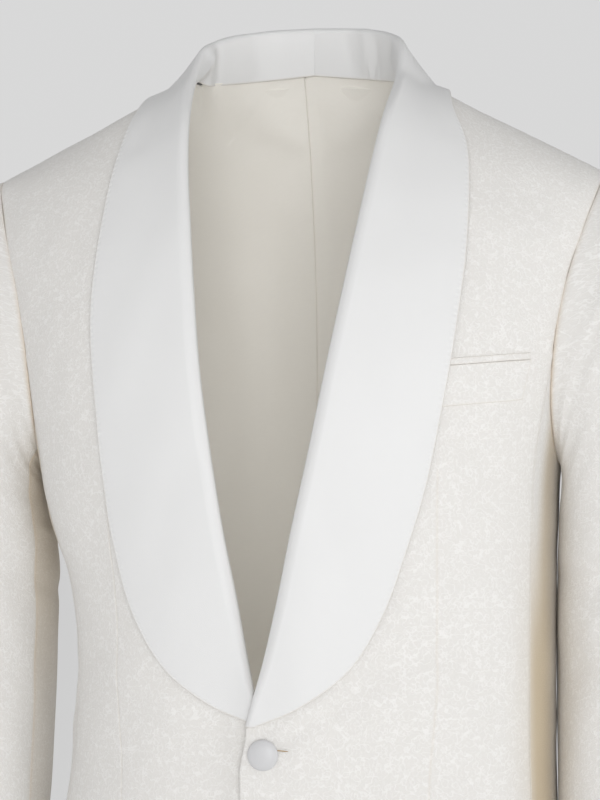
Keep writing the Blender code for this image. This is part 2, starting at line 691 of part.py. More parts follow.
def sleeves(jacket, jacquard):
    for side, word in SIDES:
        top = sleeve_piece(side, False, 17)
        under = sleeve_piece(side, True, 8)
        cloth(jacket, f"top_sleeve_{word}", on_side(top, side), CLOTH, jacquard)
        cloth(jacket, f"under_sleeve_{word}", on_side(under, side), CLOTH, jacquard)


def shawls(jacket, satin):
    for side, word in SIDES:
        cloth(jacket, f"shawl_{word}", on_side(shawl(side, 31, 3, 3, 6), side), SATIN, satin)


def pockets(jacket, jacquard):
    height = CLOTH / 2 + SEAM + TRIM / 2
    x, z = band(BREAST_IN, BREAST_OUT, BREAST_TOP, BREAST_WELT, 9, 2)
    cloth(jacket, "breast_welt", on_front(x, z, 1, height), TRIM, jacquard)
    top = tuple(z_end - BREAST_WELT - SEAM for z_end in BREAST_TOP)
    x, z = band(BREAST_IN, BREAST_OUT, top, BREAST_FLAP, 13, 5, FLAP_CORNER, FLAP_TAPER)
    cloth(jacket, "breast_flap", on_front(x, z, 1, height), TRIM, jacquard)
    for side, word in SIDES:
        x, z = band(HIP_IN, HIP_OUT, HIP_TOP, HIP_WELT, 11, 2)
        points = on_front(x, z, side, height + 0.0002)
        cloth(jacket, f"hip_welt_{word}", on_body(points, side), TRIM, jacquard)


def buttons(jacket, satin):
    x, z = (np.array(value) for value in BUTTON_AT)
    place = on_front(x, z, 1, np.array(CLOTH / 2 + SEAM + 0.0002))
    normal = outward(x, turn_at(x, z))
    button(jacket, "front_button", BUTTON_RADIUS, BUTTON_HEIGHT, place, normal, 20, satin)
    for number in range(CUFF_BUTTONS):
        degrees = np.array(BACK_SLEEVE_SEAM - 360 + 11.0)
        along = np.array(0.945 - 0.0245 * number)
        step = 0.001
        across = sleeve(degrees + 1, along, -1) - sleeve(degrees - 1, along, -1)
        down = sleeve(degrees, along + step, -1) - sleeve(degrees, along - step, -1)
        normal = np.cross(down, across)
        normal /= np.linalg.norm(normal)
        place = sleeve(degrees, along, -1) + normal * (CLOTH / 2 + SEAM + 0.0009)
        for side, word in SIDES:
            name = f"cuff_button_{word}_{number + 1}"
            there, facing = on_side(place, side), on_side(normal, side)
            button(jacket, name, CUFF_BUTTON_RADIUS, CUFF_BUTTON_HEIGHT, there, facing, 10, satin)


def main():
    for old in list(bpy.data.objects):
        bpy.data.objects.remove(old, do_unlink=True)
    jacket = bpy.data.collections.new("dinner_jacket")
    bpy.context.scene.collection.children.link(jacket)
    jacquard = finish("ivory_jacquard", (0.84, 0.81, 0.75), 0.6)
    satin = finish("ivory_satin", (0.86, 0.85, 0.82), 0.35)
    lining = finish("champagne_lining", (0.66, 0.62, 0.52), 0.5)
    body_pieces(jacket, jacquard, lining)
    sleeves(jacket, jacquard)
    shawls(jacket, satin)
    pockets(jacket, jacquard)
    buttons(jacket, satin)


main()
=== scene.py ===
import math

import bpy
import numpy as np
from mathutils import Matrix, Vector


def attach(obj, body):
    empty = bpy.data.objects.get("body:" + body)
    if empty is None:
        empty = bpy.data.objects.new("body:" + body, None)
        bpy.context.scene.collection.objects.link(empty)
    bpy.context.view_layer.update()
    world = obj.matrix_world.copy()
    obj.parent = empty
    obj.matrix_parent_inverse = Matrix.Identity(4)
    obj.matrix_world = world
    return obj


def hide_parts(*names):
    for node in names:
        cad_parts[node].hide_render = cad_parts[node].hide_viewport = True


# An ivory shawl-collar dinner jacket, filled out as worn: jacquard body and sleeves, satin collar, pale
# lining. Metres. +X is the wearer's left, -Y the front, +Z up. Each piece of cloth is a middle surface,
# worked out on a grid of rows (down) and columns (across), with a thin wall of cloth round it.

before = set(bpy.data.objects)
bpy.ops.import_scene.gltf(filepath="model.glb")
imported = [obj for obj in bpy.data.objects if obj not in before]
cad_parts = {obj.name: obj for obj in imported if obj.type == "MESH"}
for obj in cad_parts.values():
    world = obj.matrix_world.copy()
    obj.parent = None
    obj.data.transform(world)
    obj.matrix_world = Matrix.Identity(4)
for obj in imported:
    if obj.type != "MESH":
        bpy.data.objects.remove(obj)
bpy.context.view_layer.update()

# ------------------------------------------------------------------ cloth
CLOTH = 0.0020          # canvassed body cloth
SATIN = 0.0018          # shawl facing
LINING = 0.0010
LINING_SINK = 0.0024    # lining's middle behind the back's middle
PLEAT = 0.009           # the lining's centre seam lies to the wearer's right, by its pleat
TRIM = 0.0014           # pocket welts and flap
SEAM = 0.00006          # gap left at every seam
CENTRE_GAP = 0.00006    # the back's centre seam, on each side of the middle
SIDES = ((1, "left"), (-1, "right"))
STEP = 1e-4             # small step with which slopes are measured

# ------------------------------------------------------------------ body form
CHEST = -0.285          # height where the chest ends and the shoulder arch starts
HEM = -0.750
BODICE_TOP = -0.213     # height at the roll line of the row that meets the side body's top
RING_POWER = 2.4        # squareness of a level section
ARCH_POWER = 1.9        # squareness of the shoulder arch seen from the side

# height, half width, front depth, back depth
LEVELS = np.array([
    (-0.76, 0.202, 0.13, 0.118),
    (-0.65, 0.1935, 0.129, 0.116),
    (-0.56, 0.183, 0.129, 0.101),
    (-0.49, 0.1768, 0.13, 0.09),
    (-0.44, 0.1768, 0.132, 0.091),
    (-0.395, 0.1815, 0.135, 0.098),
    (-0.345, 0.1905, 0.1375, 0.108),
    (-0.285, 0.199, 0.1385, 0.117),
    (-0.24, 0.2073, 0.1385, 0.122),
    (-0.18, 0.2215, 0.137, 0.125),
    (-0.12, 0.242, 0.135, 0.1245),
    (-0.06, 0.264, 0.132, 0.122),
    (0.06, 0.3, 0.128, 0.12),
])

# As worn the sides differ: height, how far the left side hangs out, and the right side is drawn in
HANG = np.array([
    (-0.76, 0.0, 0.0),
    (-0.7, 0.0012, 0.0005),
    (-0.636, 0.0055, 0.0018),
    (-0.6, 0.0082, 0.0032),
    (-0.563, 0.011, 0.0054),
    (-0.525, 0.0141, 0.0078),
    (-0.486, 0.0166, 0.0084),
    (-0.447, 0.0168, 0.0098),
    (-0.413, 0.0141, 0.0104),
    (-0.383, 0.0101, 0.0094),
    (-0.359, 0.0059, 0.0056),
    (-0.338, 0.0033, 0.0022),
    (-0.318, 0.0012, 0.0006),
    (-0.29, 0.0, 0.0),
])

# distance from the centre, height of the shoulder ridge
RIDGE = np.array([
    (0.0, 0.061),
    (0.04, 0.034),
    (0.06, 0.014),
    (0.08, -0.008),
    (0.12, -0.0285),
    (0.16, -0.049),
    (0.2, -0.069),
    (0.24, -0.089),
])

# ------------------------------------------------------------------ seams
TIP = 0.232             # shoulder tip from the centre
NECK_POINT = 0.0825
BACK_NECK_TURN = 1.387  # how far past the ridge the back neck seam dips
FRONT_SEAM = 67.0       # side-body seams, degrees round from centre front
BACK_SEAM = 115.0
RIDGE_GAP = 0.0008      # turn left out on each side of the shoulder seam
ARMPIT = -0.300
ARMHOLE_SPREAD = 2.58
ARMHOLE_ROUND = 0.6
ARMHOLE_FRONT = 62.0
ARMHOLE_BACK = 120.0

# ------------------------------------------------------------------ closing
EDGE = 0.0175           # front edges past the centre line
BREAK = -0.4865         # where the lapels end
LIFT_OVER = 0.0052      # left front stands out over the right one
SINK_UNDER = 0.0042
NARROWER = 0.45         # share of the two that is lost below the button
QUARTER = 0.085         # radius of the rounded quarters
BUTTON_AT = (0.0, -0.5043)
BUTTON_RADIUS = 0.0112
BUTTON_HEIGHT = 0.0062

# ------------------------------------------------------------------ largest folds
# from x, height; to x, height; half width; how far it stands out (or sinks in)
FRONT_FOLDS = np.array([
    (0.04, -0.488, 0.118, -0.452, 0.015, 0.0018),
    (0.042, -0.528, 0.126, -0.512, 0.017, -0.0017),
    (0.128, -0.4, 0.14, -0.33, 0.016, -0.0014),
])
BACK_FOLDS = np.array([
    (0.03, -0.462, 0.118, -0.44, 0.02, -0.0026),
    (0.04, -0.512, 0.108, -0.5, 0.019, 0.0018),
    (0.128, -0.3, 0.092, -0.2, 0.018, 0.0024),
])
# share of the way down the sleeve, degrees round; half length, half width in degrees; share of the radius
SLEEVE_FOLDS = np.array([
    (0.545, 112.0, 0.03, 40.0, -0.07),
    (0.605, 84.0, 0.026, 46.0, 0.04),
    (0.66, 122.0, 0.03, 38.0, -0.06),
    (0.25, 62.0, 0.06, 18.0, -0.035),
    (0.61, -62.0, 0.04, 34.0, -0.035),
])

# ------------------------------------------------------------------ shawl
ROLL = 0.0034           # radius of the rolled fold
REST = 0.0042           # the lapel's middle above the chest
# Back half of the collar, from the centre back: roll line, outer edge, foot of the stand
NECK_ROLL = np.array([
    (0.00005, 0.06, 0.0365),
    (0.036, 0.054, 0.0345),
    (0.062, 0.0335, 0.028),
    (0.0755, 0.008, 0.016),
])
NECK_EDGE = np.array([
    (0.00005, 0.076, -0.009),
    (0.044, 0.069, -0.012),
    (0.086, 0.043, -0.019),
    (0.107, 0.012, -0.0225),
])
NECK_FOOT = np.array([
    (0.00005, 0.06, 0.0),
    (0.037, 0.0545, -0.004),
    (0.059, 0.0365, -0.008),
    (0.0735, 0.0115, -0.012),
])
# Lapels: roll line x, height, outer edge x, height, width of the facing behind
LEFT_LAPEL = np.array([
    (0.078, -0.012, 0.1205, -0.04, 0.003),
    (0.075, -0.045, 0.1345, -0.07, 0.014),
    (0.0705, -0.08, 0.139, -0.108, 0.025),
    (0.064, -0.125, 0.1388, -0.15, 0.028),
    (0.056, -0.172, 0.1338, -0.198, 0.026),
    (0.045, -0.23, 0.1243, -0.258, 0.024),
    (0.033, -0.29, 0.1137, -0.312, 0.022),
    (0.0205, -0.346, 0.101, -0.356, 0.019),
    (0.0106, -0.396, 0.085, -0.402, 0.015),
    (0.0008, -0.438, 0.0613, -0.443, 0.01),
    (-0.0078, -0.468, 0.027, -0.47, 0.007),
    (-0.0125, -0.485, -0.006, -0.485, 0.005),
])
RIGHT_LAPEL = np.array([
    (0.076, -0.012, 0.117, -0.04, 0.005),
    (0.071, -0.045, 0.123, -0.075, 0.016),
    (0.0665, -0.08, 0.1268, -0.11, 0.025),
    (0.06, -0.125, 0.13, -0.15, 0.028),
    (0.0543, -0.172, 0.1312, -0.198, 0.026),
    (0.0478, -0.23, 0.1253, -0.258, 0.024),
    (0.0392, -0.29, 0.1195, -0.312, 0.022),
    (0.03, -0.346, 0.112, -0.356, 0.019),
    (0.0208, -0.396, 0.099, -0.402, 0.015),
    (0.0138, -0.438, 0.076, -0.443, 0.01),
    (0.0076, -0.468, 0.043, -0.47, 0.007),
    (0.002, -0.482, 0.01, -0.484, 0.005),
])

# ------------------------------------------------------------------ sleeves
SLEEVE_POWER = 2.2
FRONT_SLEEVE_SEAM = 154.0   # degrees round from the outer side, front first
BACK_SLEEVE_SEAM = 256.0
LEFT_SEAM_TURN = 13.0       # the left front sleeve seam lies this much further round
SLEEVE_GAP = 0.04           # degrees left out on each side of a sleeve seam
# outer profile x, z; inner profile x, z; middle y; half depth
SLEEVE = np.array([
    (0.2335, -0.085, 0.202, -0.301, -0.0045, 0.063),
    (0.256, -0.0985, 0.2022, -0.3055, -0.0045, 0.0655),
    (0.2725, -0.126, 0.2018, -0.311, -0.004, 0.068),
    (0.2845, -0.168, 0.2008, -0.319, -0.003, 0.069),
    (0.293, -0.22, 0.199, -0.332, -0.002, 0.0685),
    (0.2985, -0.28, 0.1962, -0.353, 0.0, 0.0665),
    (0.301, -0.35, 0.193, -0.388, 0.002, 0.064),
    (0.301, -0.425, 0.1925, -0.44, 0.004, 0.061),
    (0.299, -0.505, 0.194, -0.508, 0.001, 0.0575),
    (0.2975, -0.58, 0.197, -0.576, -0.008, 0.054),
    (0.297, -0.65, 0.201, -0.642, -0.019, 0.051),
    (0.296, -0.725, 0.206, -0.715, -0.03, 0.049),
])
CAP_SHARE = 0.42            # share of the sleeve over which the armhole's shape fades out
SLEEVE_OFF = 0.0005         # sleeve's middle beyond the armhole's middle
UNDERARM_LIFT = 0.0023      # under the arm the sleeve starts this much above the side body
UNDERARM_TURN = 0.0416      # and turns down clear of it over this share of its length
UNDERARM_OFF = 0.0016
# How the sleeves lie against the waist, as bells over the sleeve:
# degrees round, share of the way down; half widths of the two; how far out and back
LEFT_LEAN = np.array([
    (165.0, 0.62, 55.0, 0.2, 0.0055, 0.0),
    (211.0, 0.63, 26.0, 0.24, -0.0078, 0.014),
    (190.0, 0.4, 40.0, 0.09, -0.0009, 0.0),
])
RIGHT_LEAN = np.array([
    (175.0, 0.7, 55.0, 0.2, 0.0055, 0.0),
])
CUFF_BUTTONS = 4
CUFF_BUTTON_TURN = 11.0     # degrees in front of the back sleeve seam
CUFF_BUTTON_FIRST = 0.945   # share of the way down the sleeve
CUFF_BUTTON_PITCH = 0.0245
CUFF_BUTTON_RADIUS = 0.0072
CUFF_BUTTON_HEIGHT = 0.0040

# ------------------------------------------------------------------ pockets
BREAST_IN = 0.098
BREAST_OUT = 0.183
BREAST_TOP = (-0.2265, -0.2190)     # heights at the inner and outer end
BREAST_WELT = 0.0048
BREAST_FLAP = 0.0290
FLAP_CORNER = 0.009
FLAP_TAPER = 0.07
HIP_IN = 0.062
HIP_OUT = 0.166
HIP_TOP = (-0.585, -0.578)
HIP_WELT = 0.0100

# ------------------------------------------------------------------ fine form
RIM = np.array([0.0, 0.00015, 0.0005, 0.0010, 0.0018])  # distances from a border that have their own rows
LAPEL_RIM = np.array([0.0, 0.00015, 0.0005, 0.0010, 0.0015, 0.0022, 0.0029, 0.0037, 0.0050, 0.0068])
ROW_STEP = 0.0034
COLUMN_STEP = 0.0028
SHAWL_STEP = 0.00092    # rows down the shawl's outer edge, close enough for its stitches
SEWN_RIM = 0.0005       # how far in a sewn border is rounded
SEAM_SINK = 0.0004      # how far cloth dips at a seam
SEAM_DIP = 0.0022       # and over what distance from it
SEAM_PAINTED_SHADE_REACH = 0.0009      # how far from a seam its painted shade reaches
BODY_PAINTED_SHADE_REACH = 0.0013      # the same on fronts and side bodies
# how far a sleeve seam's painted shade reaches
SLEEVE_PAINTED_SHADE_REACH = 0.0026
PUCKER = 0.00013        # small waves that cross a seam: height, pitch and reach
PUCKER_PITCH = 0.0125
PUCKER_REACH = 0.006
ROPING = 0.0008         # sleeve head's roll over the armhole seam
ROPING_AT = 0.011       # share of the sleeve's length
SLEEVE_ROUND = 0.38     # cloth round a sleeve
SLEEVE_DOWN = 0.66      # and down it
DART = ((0.1216, -0.302), (0.1100, -0.583))
DART_SHARE = 0.66       # share of the way across a front where it lies
DART_GROOVE = 0.00035
DART_WIDTH = 0.0008
DART_PAINTED_SHADE = (0.0007, 0.22)  # half width and strength of the painted shade along it
STITCH_PITCH = 0.0046   # pick stitches along the shawl's edge
STITCH_INSET = 0.0022
STITCH_DIMPLE = 0.00038
STITCH_SCALLOP = 0.00022
STITCH_LENGTH = 0.0012
STITCH_RADIUS = 0.00022
LINING_IN = 0.006       # lining stops short of the hem and the side seams
LINING_NECK = (0.0016, 0.0022)  # how far its neck edge lies behind and above the stand's foot
LINING_COARSE = 1.5     # its grid's steps, times the body cloth's
CALM = 0.016            # creases die away over this distance from a side-body seam
ARMHOLE_SEAM = 0.35     # how plainly a seam shows, from 0 to 1, in its dip and its painted shade: the armhole's upper half
SIDE_SEAM = 0.1
POCKET_SEAM = 0.2
SHAWL_EDGE_PAINTED_SHADE = 0.4        # painted shade along free edges
POCKET_EDGE_PAINTED_SHADE = 0.25
BUTTONHOLE = ((0.0070, -0.5009), (0.0182, -0.5016))

# Creases: from (across, height) to (across, height); half width; how far they stand out or sink in.
LEFT_FRONT_CREASES = np.array([
    (0.012, -0.497, 0.048, -0.472, 0.0042, -0.0012),
    (0.008, -0.49, 0.052, -0.459, 0.0044, 0.0011),
    (0.05, -0.474, 0.088, -0.44, 0.0075, -0.0008),
    (0.016, -0.512, 0.06, -0.505, 0.0055, -0.0005),
    (0.01, -0.522, 0.034, -0.575, 0.008, -0.0006),
    (0.07, -0.64, 0.09, -0.735, 0.016, 0.0011),
    (0.118, -0.61, 0.136, -0.74, 0.017, -0.0012),
    (0.152, -0.3, 0.136, -0.255, 0.009, -0.0012),
    (0.16, -0.262, 0.146, -0.206, 0.008, 0.0008),
    (0.186, -0.1, 0.172, -0.18, 0.011, -0.0009),
    (0.118, -0.43, 0.15, -0.47, 0.011, -0.0008),
    (0.14, -0.56, 0.165, -0.52, 0.012, 0.0007),
])
RIGHT_FRONT_CREASES = np.array([
    (0.018, -0.5, 0.06, -0.478, 0.006, -0.0007),
    (0.03, -0.52, 0.08, -0.54, 0.009, 0.0007),
    (0.072, -0.6, 0.084, -0.738, 0.015, 0.0012),
    (0.11, -0.56, 0.124, -0.72, 0.015, -0.0012),
    (0.148, -0.305, 0.13, -0.262, 0.0085, -0.001),
    (0.156, -0.25, 0.14, -0.19, 0.0095, 0.0009),
    (0.19, -0.105, 0.178, -0.19, 0.01, -0.0008),
    (0.11, -0.41, 0.154, -0.452, 0.012, -0.0009),
    (0.094, -0.345, 0.134, -0.372, 0.009, 0.0006),
])
LEFT_BACK_CREASES = np.array([
    (0.02, -0.435, 0.09, -0.418, 0.01, 0.001),
    (0.05, -0.48, 0.13, -0.47, 0.0085, -0.0011),
    (0.018, -0.545, 0.07, -0.56, 0.013, -0.001),
    (0.148, -0.275, 0.112, -0.16, 0.011, -0.0012),
    (0.164, -0.25, 0.14, -0.13, 0.01, 0.001),
    (0.09, -0.6, 0.098, -0.74, 0.018, 0.0015),
    (0.04, -0.64, 0.046, -0.748, 0.015, -0.0012),
    (0.03, -0.06, 0.1, -0.085, 0.01, 0.0008),
])
RIGHT_BACK_CREASES = np.array([
    (0.024, -0.448, 0.11, -0.424, 0.011, -0.001),
    (0.036, -0.492, 0.096, -0.5, 0.009, 0.0011),
    (0.06, -0.535, 0.134, -0.522, 0.012, -0.0009),
    (0.14, -0.29, 0.106, -0.19, 0.012, 0.0011),
    (0.16, -0.24, 0.132, -0.12, 0.0095, -0.001),
    (0.076, -0.62, 0.086, -0.744, 0.017, -0.0014),
    (0.12, -0.6, 0.13, -0.745, 0.015, 0.0012),
    (0.024, -0.074, 0.09, -0.066, 0.009, -0.0007),
])
# On a sleeve: across is metres of cloth round from the outer side, front first, and height is metres down it.
LEFT_SLEEVE_CREASES = np.array([
    (0.02, -0.345, 0.112, -0.372, 0.0075, -0.0019),
    (0.04, -0.372, 0.12, -0.404, 0.008, 0.0016),
    (0.058, -0.42, 0.14, -0.428, 0.0075, -0.0016),
    (0.03, -0.452, 0.098, -0.47, 0.009, 0.0012),
    (0.062, -0.06, 0.05, -0.19, 0.009, -0.0014),
    (0.084, -0.08, 0.074, -0.17, 0.008, 0.0011),
    (0.012, -0.1, 0.018, -0.26, 0.012, 0.001),
    (0.066, -0.52, 0.054, -0.64, 0.012, -0.0012),
    (0.02, -0.54, 0.03, -0.65, 0.011, 0.001),
    (-0.06, -0.36, -0.02, -0.384, 0.009, -0.0014),
    (-0.07, -0.42, -0.028, -0.436, 0.01, 0.0013),
    (-0.05, -0.12, -0.036, -0.24, 0.012, -0.0011),
    (-0.03, -0.54, -0.046, -0.64, 0.013, 0.001),
    (0.168, -0.35, 0.236, -0.372, 0.008, -0.0015),
    (0.176, -0.405, 0.246, -0.42, 0.009, 0.0012),
])
RIGHT_SLEEVE_CREASES = np.array([
    (0.03, -0.33, 0.118, -0.352, 0.008, -0.0017),
    (0.024, -0.39, 0.106, -0.408, 0.0085, 0.0017),
    (0.05, -0.436, 0.13, -0.456, 0.0075, -0.0015),
    (0.07, -0.05, 0.056, -0.17, 0.0085, -0.0013),
    (0.092, -0.09, 0.08, -0.2, 0.008, 0.0012),
    (0.006, -0.12, 0.016, -0.28, 0.013, -0.001),
    (0.048, -0.5, 0.06, -0.64, 0.012, 0.0012),
    (0.086, -0.56, 0.078, -0.65, 0.011, -0.001),
    (-0.064, -0.34, -0.024, -0.372, 0.01, 0.0013),
    (-0.072, -0.398, -0.03, -0.414, 0.009, -0.0014),
    (-0.044, -0.13, -0.04, -0.27, 0.013, 0.001),
    (0.17, -0.37, 0.24, -0.384, 0.0085, -0.0014),
    (0.18, -0.3, 0.232, -0.322, 0.0095, 0.0011),
])
SIDE_CREASES = np.array([
    (0.225, -0.455, 0.3, -0.47, 0.011, -0.0012),
    (0.23, -0.5, 0.3, -0.492, 0.012, 0.0011),
    (0.25, -0.6, 0.256, -0.745, 0.016, 0.001),
    (0.236, -0.345, 0.262, -0.318, 0.009, -0.001),
])
# On the shawl: across is metres from the roll line (outwards above 0, stand and facing below), height is
# metres down the roll from the centre back.
LEFT_SHAWL_CREASES = np.array([
    (-0.03, -0.03, -0.01, -0.028, 0.0055, -0.0009),
    (-0.03, -0.046, -0.006, -0.044, 0.006, 0.001),
    (-0.03, -0.062, -0.01, -0.058, 0.005, -0.001),
    (-0.037, -0.05, -0.03, -0.05, 0.0018, 0.0005),
    (-0.037, -0.056, -0.031, -0.056, 0.0018, -0.0005),
    (-0.037, -0.062, -0.03, -0.062, 0.0018, 0.0005),
    (0.018, -0.13, 0.05, -0.19, 0.013, -0.0009),
    (0.03, -0.33, 0.07, -0.42, 0.017, 0.0009),
    (0.02, -0.5, 0.05, -0.56, 0.012, -0.0007),
])
RIGHT_SHAWL_CREASES = np.array([
    (-0.037, -0.104, -0.004, -0.101, 0.006, 0.001),
    (-0.037, -0.09, -0.004, -0.088, 0.006, -0.0011),
    (-0.034, -0.045, -0.006, -0.05, 0.008, -0.0006),
    (0.014, -0.12, 0.044, -0.2, 0.012, -0.001),
    (0.026, -0.3, 0.066, -0.39, 0.016, 0.0009),
    (0.03, -0.47, 0.056, -0.54, 0.013, -0.0008),
])
LINING_CREASES = np.array([
    (0.004, -0.03, 0.002, -0.3, 0.004, 0.0012),
    (0.02, -0.048, 0.05, -0.03, 0.007, -0.0016),
    (0.052, -0.052, 0.078, -0.026, 0.008, 0.0016),
    (0.036, -0.12, 0.05, -0.3, 0.012, 0.0014),
    (0.07, -0.16, 0.064, -0.34, 0.011, -0.0012),
])

# ------------------------------------------------------------------ finishes
JACQUARD_GROUND = (0.795, 0.778, 0.752)
JACQUARD_FIGURE = (0.890, 0.880, 0.861)
SATIN_COLOUR = (0.800, 0.800, 0.798)
LINING_COLOUR = (0.925, 0.900, 0.845)
LINING_PAINTED_GLOW = 0.022     # painted light: an emission that brightens the lining, which is no lamp
# painted shade along seams, free edges and darts, mixed into the cloth's colour
SEAM_PAINTED_SHADE = (0.66, 0.53, 0.37)
UNDER_ARM_PAINTED_SHADE = (0.60, 0.50, 0.355)   # painted shade under the arms and beside the sleeves, warm as where cloth lights cloth
BUTTON_COLOUR = (0.64, 0.64, 0.65)
# painted shade: a dark strip stands for the shadow in the buttonhole's slit
SLIT_PAINTED_SHADE = (0.42, 0.29, 0.16)
THREAD_COLOUR = (0.84, 0.83, 0.80)
MOTIF_WIDTH = 0.0122
MOTIF_HEIGHT = 0.0169
MOTIF_DRIFT = 0.0052    # how far noise pulls the motifs about, so that no two are alike
CELL_WIDTH = 0.026      # the motif is drawn in a cell this wide and high, and shrunk to its size
CELL_HEIGHT = 0.036

# ------------------------------------------------------------------ camera, floor and light
CAMERA_AT = (0.3816, -1.9633, -0.253)
CAMERA_TURN = math.radians(11)
CAMERA_LENS = 118.53
CAMERA_SENSOR = 36
FLOOR_Z = -0.80
FLOOR_RADIUS = 12.0
SURROUND = 0.69         # the pale surround as seen
AMBIENT = (0.47, 0.36)  # its light from the horizon and from above
FLOOR_COLOUR = (0.50, 0.50, 0.50)
FLOOR_GLOW = 0.40
FLOOR_CELLS = 16
# name, place, aim, size, power, colour
LIGHTS = (
    ("key", (0.70, -3.0, -0.42), (0.0, 0.0, -0.30), 1.5, 44.0, (1, 1, 1)),
    ("side", (2.8, -1.0, -0.30), (0.2, 0.0, -0.35), 1.8, 18.0, (1.0, 0.995, 0.985)),
    ("far side", (-2.8, -1.0, -0.30), (-0.1, 0.0, -0.30), 1.5, 6.0, (1.0, 0.99, 0.97)),
    ("top", (-0.3, -1.5, 1.8), (0.05, 0.06, -0.20), 1.0, 4.0, (1, 1, 1)),
)


def through(knots, values, at):
    """Cubic curve through the values at their knots, with slopes taken from the neighbours."""
    knots = np.asarray(knots, float)
    values = np.asarray(values, float)
    at = np.asarray(at, float)
    slopes = np.gradient(values, knots, axis=0)
    low = np.clip(np.searchsorted(knots, at, side="right") - 1, 0, len(knots) - 2)
    span = knots[low + 1] - knots[low]
    t = (at - knots[low]) / span
    if values.ndim > 1:
        t = t[..., None]
        span = span[..., None]
    rise = values[low + 1] - values[low]
    start = slopes[low] * span
    end = slopes[low + 1] * span
    return values[low] + start * t + (3 * rise - 2 * start - end) * t**2 + (start + end - 2 * rise) * t**3


def ease(value, start, end):
    """0 at start, 1 at end, level at both."""
    t = np.clip((np.asarray(value, float) - start) / (end - start), 0, 1)
    return t * t * (3 - 2 * t)


def bell(value, half_width):
    """exp of minus the square of value over half_width: 1 at 0, next to nothing past twice the half width."""
    return np.exp(-((value / half_width) ** 2))


def unit(vectors):
    """Vectors divided by their lengths."""
    return vectors / np.linalg.norm(vectors, axis=-1, keepdims=True)


def round_power(values, power):
    """Values raised to a power with their signs kept: cosine and sine so treated go round a squarer oval."""
    return np.sign(values) * np.abs(values) ** power


def run_along(line):
    """Arc length along a line of points."""
    return np.pad(np.cumsum(np.linalg.norm(np.diff(line, axis=0), axis=-1)), (1, 0))


def ridge(x):
    """Height of the shoulder ridge at a distance from the centre."""
    return through(RIDGE[:, 0], RIDGE[:, 1], np.clip(np.abs(x), RIDGE[0, 0], RIDGE[-1, 0]))


def level(z):
    """Half width, front depth and back depth at a height."""
    row = through(LEVELS[:, 0], LEVELS[:, 1:], np.clip(z, LEVELS[0, 0], LEVELS[-1, 0]))
    return row[..., 0], row[..., 1], row[..., 2]


def share(x, half_width):
    """Depth of a level section at x, as a share of its full depth."""
    inside = np.clip(1 - np.abs(x / half_width) ** RING_POWER, 1e-9, 1)
    return inside ** (1 / RING_POWER)


def form(x, turn):
    """Point of the body form. turn is 0 at the front of the chest, 1 on the shoulder ridge and 2 at the back
    of the chest; below the chest it goes on in metres."""
    x, turn = np.broadcast_arrays(np.asarray(x, float), np.asarray(turn, float))
    swing = np.clip(turn, 0, 2) * math.pi / 2
    below = np.clip(-turn, 0, None) + np.clip(turn - 2, 0, None)
    z = CHEST + (ridge(x) - CHEST) * np.sin(swing) - below
    half_width, front, back = level(z)
    lean = np.cos(swing)
    depth = np.where(lean > 0, -front, back) * np.abs(lean) ** (2 / ARCH_POWER)
    return np.stack([x, depth * share(x, half_width), z], -1)


def turn_at(x, z):
    """The front turn of the form at x and height z; 2 minus it is the back one."""
    rise = (z - CHEST) / (ridge(x) - CHEST)
    return np.where(z > CHEST, np.arcsin(np.clip(rise, 0, 1)) * 2 / math.pi, z - CHEST)


def outward(x, turn):
    """Unit normal of the body form, pointing out."""
    across = form(x + STEP, turn) - form(x - STEP, turn)
    along = form(x, turn + STEP) - form(x, turn - STEP)
    return unit(np.cross(across, along))


def ring(degrees, z):
    """Point of the form at a height, by its angle round from the centre front."""
    angle = np.radians(degrees)
    half_width, front, back = level(z)
    rise = np.clip((z - CHEST) / (ridge(np.full_like(z, 0.2)) - CHEST), 0, 1)
    reach = (1 - rise**2) ** (1 / ARCH_POWER)
    cosine = np.cos(angle)
    x = half_width * np.sin(angle) ** (2 / RING_POWER)
    y = np.where(cosine > 0, -front, back) * np.abs(cosine) ** (2 / RING_POWER) * reach
    return np.stack([x, y, z], -1)


def ring_x(degrees, z):
    """Distance from the centre of that point."""
    return level(z)[0] * np.sin(np.radians(degrees)) ** (2 / RING_POWER)


def armhole_angle(z, back=False):
    """Where the armhole lies on a level section. It closes to the side with a round bottom at the armpit."""
    limit = abs(math.cos(math.radians(ARMHOLE_BACK if back else ARMHOLE_FRONT)))
    spread = ARMHOLE_SPREAD / limit * np.clip(z - ARMPIT, 0, None) ** ARMHOLE_ROUND
    angle = np.degrees(np.arccos(limit * np.tanh(spread)))
    return 180 - angle if back else angle


def armhole_height(degrees, back=False):
    """Height of the armhole at an angle round the body, the inverse of armhole_angle."""
    limit = abs(math.cos(math.radians(ARMHOLE_BACK if back else ARMHOLE_FRONT)))
    spread = np.arctanh(np.abs(np.cos(np.radians(degrees))) / limit) * limit / ARMHOLE_SPREAD
    return ARMPIT + spread ** (1 / ARMHOLE_ROUND)


def armhole_x(z, back=False):
    """Distance of the armhole from the centre, eased to the shoulder tip at the ridge."""
    x = ring_x(armhole_angle(z, back), z)
    top = ridge(TIP)
    return x + (TIP - ring_x(armhole_angle(top, back), top)) * ease(z, -0.16, top)


def folded(x, z, folds):
    """Height of soft folds, each a ridge or a trough along a short line that dies away past its ends."""
    height = np.zeros(np.broadcast(x, z).shape)
    for from_x, from_z, to_x, to_z, half_width, rise in folds:
        run_x, run_z = to_x - from_x, to_z - from_z
        length = math.hypot(run_x, run_z)
        along = ((x - from_x) * run_x + (z - from_z) * run_z) / length
        off = ((x - from_x) * run_z - (z - from_z) * run_x) / length
        beyond = along - np.clip(along, 0, length)
        height = height + rise * bell(np.hypot(off, beyond), half_width)
    return height


